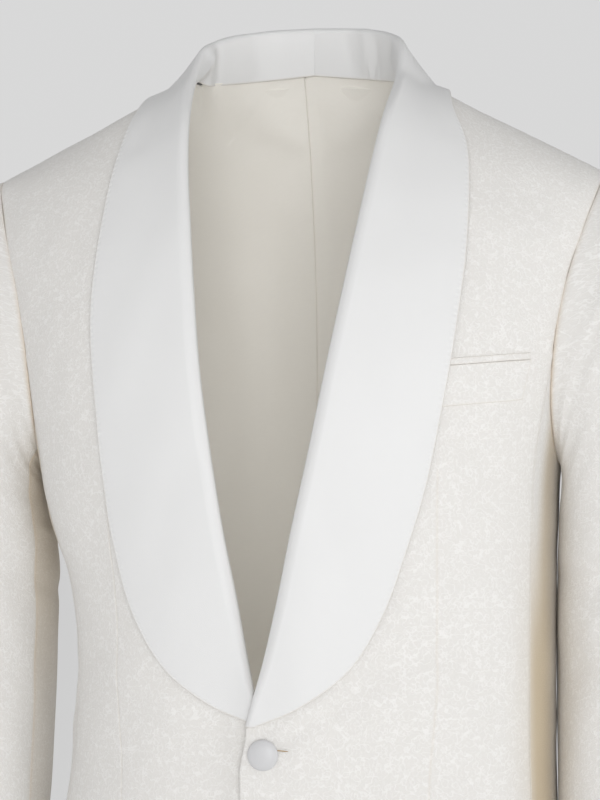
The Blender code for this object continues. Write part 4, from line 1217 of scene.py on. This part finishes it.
def pick_stitches(side, word, middle, normal, material):
    """Threads a stitch apart along the shawl's outer edge, each sunk in its dimple."""
    run = run_along(middle[:, -1])
    column = -1 - int(np.argmin(np.abs(LAPEL_RIM - STITCH_INSET)))
    beats = np.arange(1, int(run[-1] / STITCH_PITCH)) * STITCH_PITCH

    def at_beats(line, further=0.0):
        return np.stack([np.interp(beats + further, run, line[:, i]) for i in range(3)], -1)

    places = at_beats(middle[:, column])
    out = unit(at_beats(normal[:, column]))
    along = at_beats(middle[:, column], 0.0006) - places
    along = unit(along - out * (along * out).sum(-1, keepdims=True))
    places = places + out * (SATIN / 2 - STITCH_RADIUS * 0.2)
    piece = capsules(
        f"pick_stitches_{word}", on_side(places, side), on_side(along, side) * side, on_side(out, side),
        STITCH_LENGTH, STITCH_RADIUS, material)
    declare(piece)
    return piece


def shawls(finishes):
    """The two halves of the collar with their pick stitches."""
    for side, word in SIDES:
        middle, normal, cloth_map = shawl_middle(side)
        piece = wall(
            f"shawl_{word}_cloth", middle, normal, cloth_map * np.array([side, 1]), 1, side, SATIN,
            (0.0, None, None, None), finishes["satin"], finishes["satin"], edge=SHAWL_EDGE_PAINTED_SHADE)
        threads = pick_stitches(side, word, middle, normal, finishes["thread"])
        as_cloth(piece, f"shawl_{word}")


# ------------------------------------------------------------------ pockets
def on_front(x, z, side, height):
    """Points lying a height above a front."""
    turn = turn_at(x, z)
    return form(x, turn) + outward(x, turn) * (closing(x, z, side) + height)[..., None]


def band(inner_x, outer_x, top, width, across, down, corner=0.0, taper=0.0):
    """Grid of x and z for a strip hung from a slanting line; its outer lower corner may be rounded."""
    u = across[None, :]
    v = down[:, None]
    x = inner_x + (outer_x - inner_x) * u * (1 - taper * v)
    top_z = top[0] + (top[1] - top[0]) * u
    from_end = np.clip((corner - (outer_x - x)) / (corner + 1e-9), 0, 1)
    depth = width - corner * (1 - np.sqrt(1 - from_end**2))
    return x, top_z - depth * v


def on_side(points, side):
    """Points as they lie on the wearer's left (1) or right (-1)."""
    return points * np.array([side, 1.0, 1.0])


def strip(name, node, side, x, z, height, sewn, finishes):
    """A small piece of cloth lying on a front: a grid of x and z lifted off the front's own surface."""
    turn = turn_at(x, z)
    middle = as_hung(on_front(x, z, side, height + uneven_front(x, z, turn, side)), side)
    normal = outward(x, turn)
    cloth_map = np.stack([x * side, z], -1)
    piece = wall(
        name, middle, normal, cloth_map, 1, side, TRIM, sewn, finishes["jacquard"], finishes["lining"],
        edge=POCKET_EDGE_PAINTED_SHADE)
    as_cloth(piece, node)


def pockets(finishes):
    """The breast pocket's welt and flap, and the hip pockets' welts with the slit between their two lips."""
    height = CLOTH / 2 + 0.0003 + TRIM / 2
    seam = POCKET_SEAM
    u = spaced(BREAST_OUT - BREAST_IN, 0.0018)
    v = spaced(BREAST_WELT, 0.0006)
    x, z = band(BREAST_IN, BREAST_OUT - 0.001, BREAST_TOP, BREAST_WELT, u, v)
    strip(
        "breast_welt_cloth", "breast_welt", 1, x, z, height, (seam, seam, None, seam), finishes)
    top = tuple(z_end - BREAST_WELT - 0.0001 for z_end in BREAST_TOP)
    corner_u = 1 - (1 - np.cos(np.linspace(0, math.pi / 2, 14))) * FLAP_CORNER / (BREAST_OUT - BREAST_IN)
    u = np.unique(np.concatenate([u, corner_u]))
    v = spaced(BREAST_FLAP, 0.0018)
    x, z = band(BREAST_IN, BREAST_OUT, top, BREAST_FLAP, u, v, FLAP_CORNER, FLAP_TAPER)
    strip(
        "breast_flap_cloth", "breast_flap", 1, x, z, height, (seam, None, None, None), finishes)
    for side, word in SIDES:
        u = spaced(HIP_OUT - HIP_IN, 0.0022)
        v = spaced(HIP_WELT, 0.0005)
        x, z = band(HIP_IN, HIP_OUT, HIP_TOP, HIP_WELT, u, v)
        down = np.broadcast_to(v[:, None], x.shape)
        groove = 0.0009 * bell((down - 0.5) * HIP_WELT, 0.0006)
        strip(
            f"hip_welt_{word}_cloth", f"hip_welt_{word}", side, x, z, height - groove, (seam,) * 4, finishes)


# ------------------------------------------------------------------ buttons
def turned(name, outline, count, place, facing, material, gather=0.0):
    """A turned piece: an outline of radius and height carried round an axis, closed at both poles. gather is
    the depth of the small pleats that a cloth cover makes under the rim."""
    outline = np.asarray(outline, float)
    angle = around(count)
    facing = unit(facing)
    side_way = unit(np.cross(facing, [0.0, 0.0, 1.0]))
    up_way = np.cross(side_way, facing)
    radius = outline[1:-1, 0][:, None]
    low = 1 - ease(outline[1:-1, 1], 0.0005, 0.55 * outline[:, 1].max())[:, None]
    radius = radius - gather * low * (0.5 + 0.5 * np.cos(19 * angle + 0.8 * np.sin(5 * angle)))[None, :]
    rings = (
        place + side_way * (radius * np.cos(angle))[..., None] + up_way * (radius * np.sin(angle))[..., None]
        + facing * outline[1:-1, 1][:, None, None])
    top = place + facing * outline[0, 1]
    foot = place + facing * outline[-1, 1]
    points = np.concatenate([rings.reshape(-1, 3), [top], [foot]])
    numbers = np.arange(rings.size // 3).reshape(rings.shape[:2])
    numbers = np.concatenate([numbers, numbers[:, :1]], axis=1)
    corners = [numbers[1:, :-1], numbers[1:, 1:], numbers[:-1, 1:], numbers[:-1, :-1]]
    quads = np.stack(corners, -1).reshape(-1, 4)
    poles = np.full((2, count), [[len(points) - 2], [len(points) - 1]])
    caps = np.concatenate([
        np.stack([poles[0], numbers[0, :-1], numbers[0, 1:]], -1),
        np.stack([poles[1], numbers[-1, 1:], numbers[-1, :-1]], -1)])
    mesh = bpy.data.meshes.new(name)
    mesh.from_pydata(points.tolist(), [], quads.tolist() + caps.tolist())
    mesh.materials.append(material)
    mesh.shade_smooth()
    piece = bpy.data.objects.new(name, mesh)
    bpy.context.scene.collection.objects.link(piece)
    return piece


def covered_button(name, node, radius, height, place, facing, finishes):
    """A cloth-covered dome: a flattened quarter ellipse down to the rim, then rolled under to the shank."""
    bend = np.linspace(0, math.pi / 2, 14)
    dome = np.stack([radius * np.sin(bend) ** 0.9, height * (0.36 + 0.64 * np.cos(bend))], -1)
    under = np.radians(np.linspace(15, 90, 6))
    roll = np.stack([
        radius - 0.1 * radius * (1 - np.cos(under)) * 1.6, height * 0.36 * (1 - np.sin(under) * 0.8)], -1)
    outline = np.concatenate([dome, roll, [(radius * 0.72, height * 0.05), (radius * 0.3, 0.0), (0.0, 0.0)]])
    piece = turned(name, outline, 72, place, facing, finishes["button"], 0.02 * radius)
    declare(piece, node)


def buttons(finishes):
    """The front button, and the cuff buttons in a row up the back of each sleeve, square to its cloth."""
    x, z = (np.array(value) for value in BUTTON_AT)
    place = on_front(x, z, 1, np.array(CLOTH / 2 + 0.0005))
    normal = outward(x, turn_at(x, z))
    covered_button("front_button_dome", "front_button", BUTTON_RADIUS, BUTTON_HEIGHT, place, normal, finishes)
    degrees = np.array(BACK_SLEEVE_SEAM - 360 + CUFF_BUTTON_TURN)
    for number in range(CUFF_BUTTONS):
        along = np.array(CUFF_BUTTON_FIRST - CUFF_BUTTON_PITCH * number)
        across = sleeve(degrees + 1, along, -1) - sleeve(degrees - 1, along, -1)
        down = sleeve(degrees, along + 0.001, -1) - sleeve(degrees, along - 0.001, -1)
        normal = unit(np.cross(down, across))
        place = sleeve(degrees, along, -1) + normal * (CLOTH / 2 + 0.0012)
        for side, word in SIDES:
            node = f"cuff_button_{word}_{number + 1}"
            covered_button(
                f"{node}_dome", node, CUFF_BUTTON_RADIUS, CUFF_BUTTON_HEIGHT, on_side(place, side),
                on_side(normal, side), finishes)


def buttonhole(finishes):
    """Worked buttonhole: a cord of radius 0.3 mm round a long ring, ribbed by its stitches, and the slit in
    it, a dark strip that narrows to both ends and is painted shade standing for the shadow in the slit."""
    (from_x, from_z), (to_x, to_z) = BUTTONHOLE
    long_half = math.hypot(to_x - from_x, to_z - from_z) / 2
    tilt = math.atan2(to_z - from_z, to_x - from_x)

    def tilted(long_way, short_way):
        x = (from_x + to_x) / 2 + long_way * math.cos(tilt) - short_way * math.sin(tilt)
        z = (from_z + to_z) / 2 + long_way * math.sin(tilt) + short_way * math.cos(tilt)
        return x, z

    angle = around(160)
    x, z = tilted(long_half * round_power(np.cos(angle), 0.6), 0.0007 * round_power(np.sin(angle), 0.8))
    line = on_front(x, z, 1, np.full(x.shape, CLOTH / 2))
    normal = outward(x, turn_at(x, z))
    along = unit(np.roll(line, -1, axis=0) - np.roll(line, 1, axis=0))
    across = np.cross(along, normal)
    turn = around(10)
    thick = 0.00030 * (1 + 0.16 * np.cos(40 * angle))
    tube = (
        line[:, None] + across[:, None] * (thick[:, None] * np.cos(turn))[..., None]
        + normal[:, None] * (thick[:, None] * np.sin(turn))[..., None])
    numbers = np.arange(tube.size // 3).reshape(tube.shape[:2])
    numbers = np.concatenate([numbers, numbers[:1]], axis=0)
    numbers = np.concatenate([numbers, numbers[:, :1]], axis=1)
    cord = mesh_object("buttonhole_cord", tube.reshape(-1, 3), grid_quads(numbers), [finishes["thread"]])
    declare(cord)
    u = np.linspace(-1, 1, 30)[None, :]
    v = np.linspace(-1, 1, 8)[:, None]
    x, z = tilted(long_half * 0.93 * u * np.ones_like(v), 0.0004 * v * (1 - u**2) ** 0.35)
    middle = on_front(x, z, 1, np.full(x.shape, CLOTH / 2 + 0.00006))
    numbers = np.arange(x.size).reshape(x.shape)
    # the slit strip is painted shade, dark where the slit's shadow falls
    slit = mesh_object("buttonhole_slit_painted_shade", middle.reshape(-1, 3), grid_quads(numbers), [finishes["slit"]])
    slit.modifiers.new("Wall", "SOLIDIFY").thickness = 0.0001
    declare(slit)


# ------------------------------------------------------------------ finishes
class Net:
    """Nodes of one tree, made and joined by short calls."""

    def __init__(self, tree):
        self.tree = tree

    def add(self, kind, **settings):
        node = self.tree.nodes.new(kind)
        for key, value in settings.items():
            setattr(node, key, value)
        return node

    def put(self, socket, value):
        if isinstance(value, bpy.types.NodeSocket):
            self.tree.links.new(value, socket)
        else:
            socket.default_value = value

    def fill(self, node, values):
        """Gives a node's inputs, by name or number, their values or what they are joined to."""
        for name, value in values.items():
            self.put(node.inputs[name], value)
        return node

    def maths(self, operation, *values, clamp=False):
        node = self.add("ShaderNodeMath", operation=operation, use_clamp=clamp)
        for socket, value in zip(node.inputs, values):
            self.put(socket, value)
        return node.outputs[0]

    def plus(self, a, b):
        return self.maths("ADD", a, b)

    def minus(self, a, b):
        return self.maths("SUBTRACT", a, b)

    def times(self, a, b):
        return self.maths("MULTIPLY", a, b)

    def within(self, value, soft):
        """1 where value is well above 0, 0 well below, with a soft edge."""
        node = self.add("ShaderNodeMapRange", interpolation_type="SMOOTHSTEP")
        return self.fill(node, {"Value": value, "From Min": -soft, "From Max": soft}).outputs["Result"]

    def between(self, value, low, high, to_low, to_high):
        """The value carried over from one range to another, and held at its ends."""
        ranges = {"From Min": low, "From Max": high, "To Min": to_low, "To Max": to_high}
        return self.fill(self.add("ShaderNodeMapRange"), {"Value": value, **ranges}).outputs["Result"]

    def mix(self, factor, a, b):
        node = self.add("ShaderNodeMix", data_type="RGBA")
        self.put(node.inputs["Factor"], factor)
        for socket, value in zip((node.inputs[6], node.inputs[7]), (a, b)):
            self.put(socket, (*value, 1) if isinstance(value, tuple) and len(value) == 3 else value)
        return node.outputs[2]

    def noise(self, vector, scale, detail=2.0, rough=0.5):
        values = {"Vector": vector, "Scale": scale, "Detail": detail, "Roughness": rough}
        return self.fill(self.add("ShaderNodeTexNoise"), values).outputs["Fac"]

    def distance(self, x, y):
        return self.maths("SQRT", self.plus(self.times(x, x), self.times(y, y)))

    def axes(self, vector):
        """A vector's three numbers."""
        return self.fill(self.add("ShaderNodeSeparateXYZ"), {0: vector}).outputs


def new_group(name, inputs, outputs):
    """An empty node group with its sockets, and its Net and end nodes."""
    tree = bpy.data.node_groups.new(name, "ShaderNodeTree")
    for socket, kind in inputs:
        tree.interface.new_socket(socket, in_out="INPUT", socket_type=kind)
    for socket, kind in outputs:
        tree.interface.new_socket(socket, in_out="OUTPUT", socket_type=kind)
    net = Net(tree)
    return tree, net, net.add("NodeGroupInput"), net.add("NodeGroupOutput")


def jacquard_group():
    """Half-drop figure of a flower, leaves round it and curling stems between. p and q are counted from the
    middle of a cell that is shrunk to the motif's size: a flower is r below a radius that waves with the
    angle, a leaf is |y| below w(1 - (x/l)^2) on turned axes, and a stem lies near a circle. Thin curls lie
    where a smooth noise passes its middle value."""
    tree, net, start, end = new_group(
        "Jacquard figure", [("Cloth", "NodeSocketVector")],
        [("Figure", "NodeSocketFloat"), ("Height", "NodeSocketFloat")])
    cloth = start.outputs["Cloth"]
    bent = net.fill(net.add("ShaderNodeTexNoise"), {"Vector": cloth, "Scale": 55.0})
    shift = net.add("ShaderNodeVectorMath", operation="MULTIPLY_ADD")
    net.fill(shift, {0: bent.outputs["Color"], 1: (MOTIF_DRIFT, MOTIF_DRIFT, 0.0), 2: cloth})
    place = net.axes(shift.outputs[0])
    across = net.times(place["X"], 1 / MOTIF_WIDTH)
    column = net.maths("FLOOR", across)
    p = net.times(net.minus(net.minus(across, column), 0.5), CELL_WIDTH)
    drop = net.times(net.maths("FLOORED_MODULO", column, 2.0), 0.5)
    down = net.plus(net.times(place["Y"], 1 / MOTIF_HEIGHT), drop)
    q = net.times(net.minus(net.minus(down, net.maths("FLOOR", down)), 0.5), CELL_HEIGHT)

    def flower(x, y, size, petals):
        radius = net.distance(x, y)
        angle = net.maths("ARCTAN2", y, x)
        wave = net.maths("ABSOLUTE", net.maths("COSINE", net.times(angle, petals / 2)))
        reach = net.between(wave, 0, 1, 0.55 * size, size)
        petal = net.within(net.minus(reach, radius), 0.0004)
        eye = net.within(net.minus(0.22 * size, radius), 0.0003)
        ring = net.within(net.minus(0.34 * size, radius), 0.0003)
        return net.minus(petal, net.minus(ring, eye))

    def leaf(x, y, at_x, at_y, turn, length, width):
        cosine, sine = math.cos(turn), math.sin(turn)
        x = net.minus(x, at_x)
        y = net.minus(y, at_y)
        along = net.plus(net.times(x, cosine), net.times(y, sine))
        off = net.maths("ABSOLUTE", net.minus(net.times(y, cosine), net.times(x, sine)))
        share_along = net.times(along, 1 / length)
        half = net.times(net.minus(1.0, net.times(share_along, share_along)), width)
        blade = net.within(net.minus(half, off), 0.0003)
        vein = net.within(net.minus(0.00025, off), 0.0002)
        return net.times(blade, net.minus(1.0, net.times(vein, 0.8)))

    def stem(x, y, at_x, at_y, radius, width):
        far = net.distance(net.minus(x, at_x), net.minus(y, at_y))
        off = net.maths("ABSOLUTE", net.minus(far, radius))
        return net.within(net.minus(width, off), 0.00025)

    side_x = net.maths("ABSOLUTE", p)
    side_y = net.maths("ABSOLUTE", q)
    shapes = [
        flower(p, q, 0.0062, 6),
        leaf(side_x, q, 0.0088, 0.0062, 0.9, 0.0052, 0.0019),
        leaf(side_x, q, 0.0070, -0.0090, -0.7, 0.0048, 0.0017),
        leaf(side_x, side_y, 0.0030, 0.0128, 1.25, 0.0042, 0.0013),
        stem(side_x, q, 0.0130, -0.0010, 0.0044, 0.0004),
        stem(side_x, side_y, 0.0072, 0.0150, 0.0034, 0.0004),
        flower(net.minus(side_x, 0.013), net.minus(q, 0.0135), 0.0030, 5),
    ]
    figure = shapes[0]
    for shape in shapes[1:]:
        figure = net.maths("MAXIMUM", figure, shape)
    fray = net.noise(cloth, 900.0, 2.0, 0.6)
    worn = net.noise(cloth, 110.0, 3.0, 0.6)
    figure = net.times(figure, net.between(worn, 0.34, 0.62, 0.0, 0.75))
    level_off = net.maths("ABSOLUTE", net.minus(net.noise(cloth, 150.0, 1.5, 0.5), 0.5))
    curl = net.within(net.minus(0.020, level_off), 0.012)
    figure = net.maths("MAXIMUM", figure, net.times(curl, 0.8))
    figure = net.maths("ADD", figure, net.times(net.minus(fray, 0.5), 0.5), clamp=True)
    net.fill(end, {"Figure": figure, "Height": net.plus(net.times(figure, 0.7), net.times(fray, 0.5))})
    return tree


def weave_group():
    """Crossed threads: the product of two sine waves of the given pitch, the warp's slanted by the given
    share, with a little noise so that no thread is even."""
    tree, net, start, end = new_group(
        "Weave", [("Cloth", "NodeSocketVector"), ("Pitch", "NodeSocketFloat"), ("Slant", "NodeSocketFloat")],
        [("Height", "NodeSocketFloat"), ("Slub", "NodeSocketFloat")])
    cloth = start.outputs["Cloth"]
    place = net.axes(cloth)
    rate = net.maths("DIVIDE", 2 * math.pi, start.outputs["Pitch"])
    wobble = net.times(net.noise(cloth, 350.0, 2.0, 0.6), 3.0)
    slanted = net.plus(place["X"], net.times(place["Y"], start.outputs["Slant"]))
    warp = net.maths("SINE", net.plus(net.times(slanted, rate), wobble))
    weft = net.maths("SINE", net.plus(net.times(place["Y"], rate), wobble))
    stretched = net.add("ShaderNodeVectorMath", operation="MULTIPLY")
    net.fill(stretched, {0: cloth, 1: (1.0, 9.0, 1.0)})
    height = net.plus(net.times(net.times(warp, weft), 0.5), 0.5)
    net.fill(end, {"Height": height, "Slub": net.noise(stretched.outputs[0], 120.0, 3.0, 0.6)})
    return tree


def new_material(name, roughness, sheen=0.0, sheen_roughness=0.4, specular=0.5):
    """A Principled material whose plain numbers sit on the shader's own sockets."""
    material = bpy.data.materials.new(name)
    material.use_nodes = True
    net = Net(material.node_tree)
    shader = net.fill(material.node_tree.nodes["Principled BSDF"], {
        "Roughness": roughness, "Metallic": 0.0, "Specular IOR Level": specular, "Sheen Weight": sheen,
        "Sheen Roughness": sheen_roughness})
    return material, net, shader


def raised(net, shader, height, distance):
    """Relief of a finish: its height from 0 to 1 times the distance."""
    bump = net.fill(net.add("ShaderNodeBump"), {"Strength": 1.0, "Distance": distance, "Height": height})
    net.put(shader.inputs["Normal"], bump.outputs["Normal"])


def group_in(net, tree, cloth, **values):
    """A node group placed in a material with its own values."""
    return net.fill(net.add("ShaderNodeGroup", node_tree=tree), {"Cloth": cloth, **values}).outputs


def darker(colour, share):
    return tuple(share * part for part in colour)


def painted_seam_shade(net, colour):
    """A cloth's colour with painted shade along its seams, free edges and darts, by their mask."""
    mask = net.add("ShaderNodeAttribute", attribute_name="seam")
    return net.mix(net.times(mask.outputs["Fac"], 0.6), colour, SEAM_PAINTED_SHADE)


def jacquard_finish(figure_tree, weave_tree):
    """Ivory jacquard: a smooth, cooler figure on a matt warm ground."""
    material, net, shader = new_material("ivory jacquard cloth", 0.7, 0.15, 0.5, 0.4)
    cloth = net.add("ShaderNodeUVMap", uv_map="cloth").outputs["UV"]
    figure = group_in(net, figure_tree, cloth)
    weave = group_in(net, weave_tree, cloth, Pitch=0.00042, Slant=0.5)
    colour = net.mix(figure["Figure"], JACQUARD_GROUND, JACQUARD_FIGURE)
    slub = net.between(weave["Slub"], 0.25, 0.75, 0.0, 0.10)
    colour = net.mix(slub, colour, darker(JACQUARD_GROUND, 0.86))
    # painted shade under the arms, mixed in by the under mask
    under = net.add("ShaderNodeAttribute", attribute_name="under")
    colour = net.mix(under.outputs["Fac"], colour, UNDER_ARM_PAINTED_SHADE)
    roughness = net.between(figure["Figure"], 0, 1, 0.70, 0.56)
    net.fill(shader, {"Base Color": painted_seam_shade(net, colour), "Roughness": roughness})
    raised(net, shader, net.plus(figure["Height"], net.times(weave["Height"], 0.25)), 0.00016)
    return material


def satin_finish(weave_tree):
    """Heavy ivory satin, smooth, with a fine grain across the roll."""
    material, net, shader = new_material("ivory satin cloth", 0.42, 0.10, 0.35, 0.5)
    cloth = net.add("ShaderNodeUVMap", uv_map="cloth").outputs["UV"]
    weave = group_in(net, weave_tree, cloth, Pitch=0.00036, Slant=0.25)
    tone = net.between(weave["Slub"], 0.3, 0.7, 0.0, 0.06)
    colour = net.mix(tone, SATIN_COLOUR, darker(SATIN_COLOUR, 0.88))
    roughness = net.between(weave["Slub"], 0.2, 0.8, 0.38, 0.48)
    net.fill(shader, {"Base Color": painted_seam_shade(net, colour), "Roughness": roughness})
    raised(net, shader, net.plus(weave["Height"], weave["Slub"]), 0.00003)
    return material


def lining_finish(weave_tree):
    """Champagne twill lining, with a very slight glow painted in as emission, though it is no lamp."""
    material, net, shader = new_material("champagne lining cloth", 0.5, 0.10, 0.4, 0.45)
    cloth = net.add("ShaderNodeUVMap", uv_map="cloth").outputs["UV"]
    weave = group_in(net, weave_tree, cloth, Pitch=0.00040, Slant=1.0)
    tone = net.between(weave["Slub"], 0.3, 0.7, 0.0, 0.12)
    colour = net.mix(tone, LINING_COLOUR, darker(LINING_COLOUR, 0.86))
    # painted light: a constant emission glow, though the lining is no lamp
    net.fill(shader, {
        "Base Color": painted_seam_shade(net, colour), "Emission Color": (*LINING_COLOUR, 1),
        "Emission Strength": LINING_PAINTED_GLOW})
    raised(net, shader, net.plus(weave["Height"], weave["Slub"]), 0.00004)
    return material


def small_finish(name, colour, roughness, grain, distance):
    """Plain cloth or thread on a small piece, with a grain from Object coordinates."""
    material, net, shader = new_material(name, roughness, 0.08, 0.4, 0.5)
    place = net.add("ShaderNodeTexCoord").outputs["Object"]
    speck = net.noise(place, grain, 3.0, 0.6)
    shade = net.mix(net.between(speck, 0.3, 0.7, 0.0, 0.10), colour, darker(colour, 0.85))
    net.put(shader.inputs["Base Color"], shade)
    raised(net, shader, speck, distance)
    return material


def make_finishes():
    figure_tree = jacquard_group()
    weave_tree = weave_group()
    return {
        "jacquard": jacquard_finish(figure_tree, weave_tree),
        "satin": satin_finish(weave_tree),
        "lining": lining_finish(weave_tree),
        "thread": small_finish("ivory thread", THREAD_COLOUR, 0.55, 2600.0, 0.00003),
        "button": small_finish("satin button cover", BUTTON_COLOUR, 0.40, 1900.0, 0.00003),
        "slit": small_finish("buttonhole shade", SLIT_PAINTED_SHADE, 0.9, 1500.0, 0.00002),
    }


# ------------------------------------------------------------------ stage
def area_light(name, place, aim, size, power, colour):
    """A square soft light, turned to what it lights and not seen itself."""
    lamp = bpy.data.lights.new(name, "AREA")
    lamp.shape = "SQUARE"
    lamp.size = size
    lamp.energy = power
    lamp.color = colour
    source = bpy.data.objects.new(name, lamp)
    source.location = place
    source.rotation_euler = (Vector(aim) - Vector(place)).to_track_quat("-Z", "Y").to_euler()
    source.visible_camera = False
    bpy.context.scene.collection.objects.link(source)


def stage():
    """Camera, pale surround, floor and soft lights."""
    scene = bpy.context.scene
    scene.view_settings.view_transform = "Standard"
    camera = bpy.data.cameras.new("camera")
    camera.lens = CAMERA_LENS
    camera.sensor_width = CAMERA_SENSOR
    camera.clip_end = 60
    viewer = bpy.data.objects.new("camera", camera)
    viewer.location = CAMERA_AT
    viewer.rotation_euler = (math.pi / 2, 0, CAMERA_TURN)
    scene.collection.objects.link(viewer)
    scene.camera = viewer

    world = bpy.data.worlds.new("surround")
    world.use_nodes = True
    net = Net(world.node_tree)
    way = net.axes(net.add("ShaderNodeTexCoord").outputs["Generated"])
    light = net.between(way["Z"], 0.0, 1.0, *AMBIENT)
    seen = net.add("ShaderNodeLightPath").outputs["Is Camera Ray"]
    surround = net.mix(seen, light, (SURROUND,) * 3)
    net.fill(world.node_tree.nodes["Background"], {"Color": surround, "Strength": 1.0})
    scene.world = world

    line = np.linspace(-FLOOR_RADIUS, FLOOR_RADIUS, FLOOR_CELLS + 1)
    x, y = np.meshgrid(line, line[::-1])
    points = np.stack([x, y, np.full(x.shape, FLOOR_Z)], -1)
    numbers = np.arange(x.size).reshape(x.shape)
    material, net, shader = new_material("pale floor", 0.9)
    place = net.add("ShaderNodeTexCoord").outputs["Object"]
    net.fill(shader, {
        "Base Color": net.mix(net.noise(place, 3.0), FLOOR_COLOUR, darker(FLOOR_COLOUR, 0.985)),
        "Emission Color": (1, 1, 1, 1), "Emission Strength": FLOOR_GLOW})
    floor = mesh_object("floor", points.reshape(-1, 3), grid_quads(numbers), [material])

    for light_row in LIGHTS:
        area_light(*light_row)


stage()
finishes = make_finishes()
body(finishes)
sleeves(finishes)
shawls(finishes)
pockets(finishes)
buttons(finishes)
buttonhole(finishes)
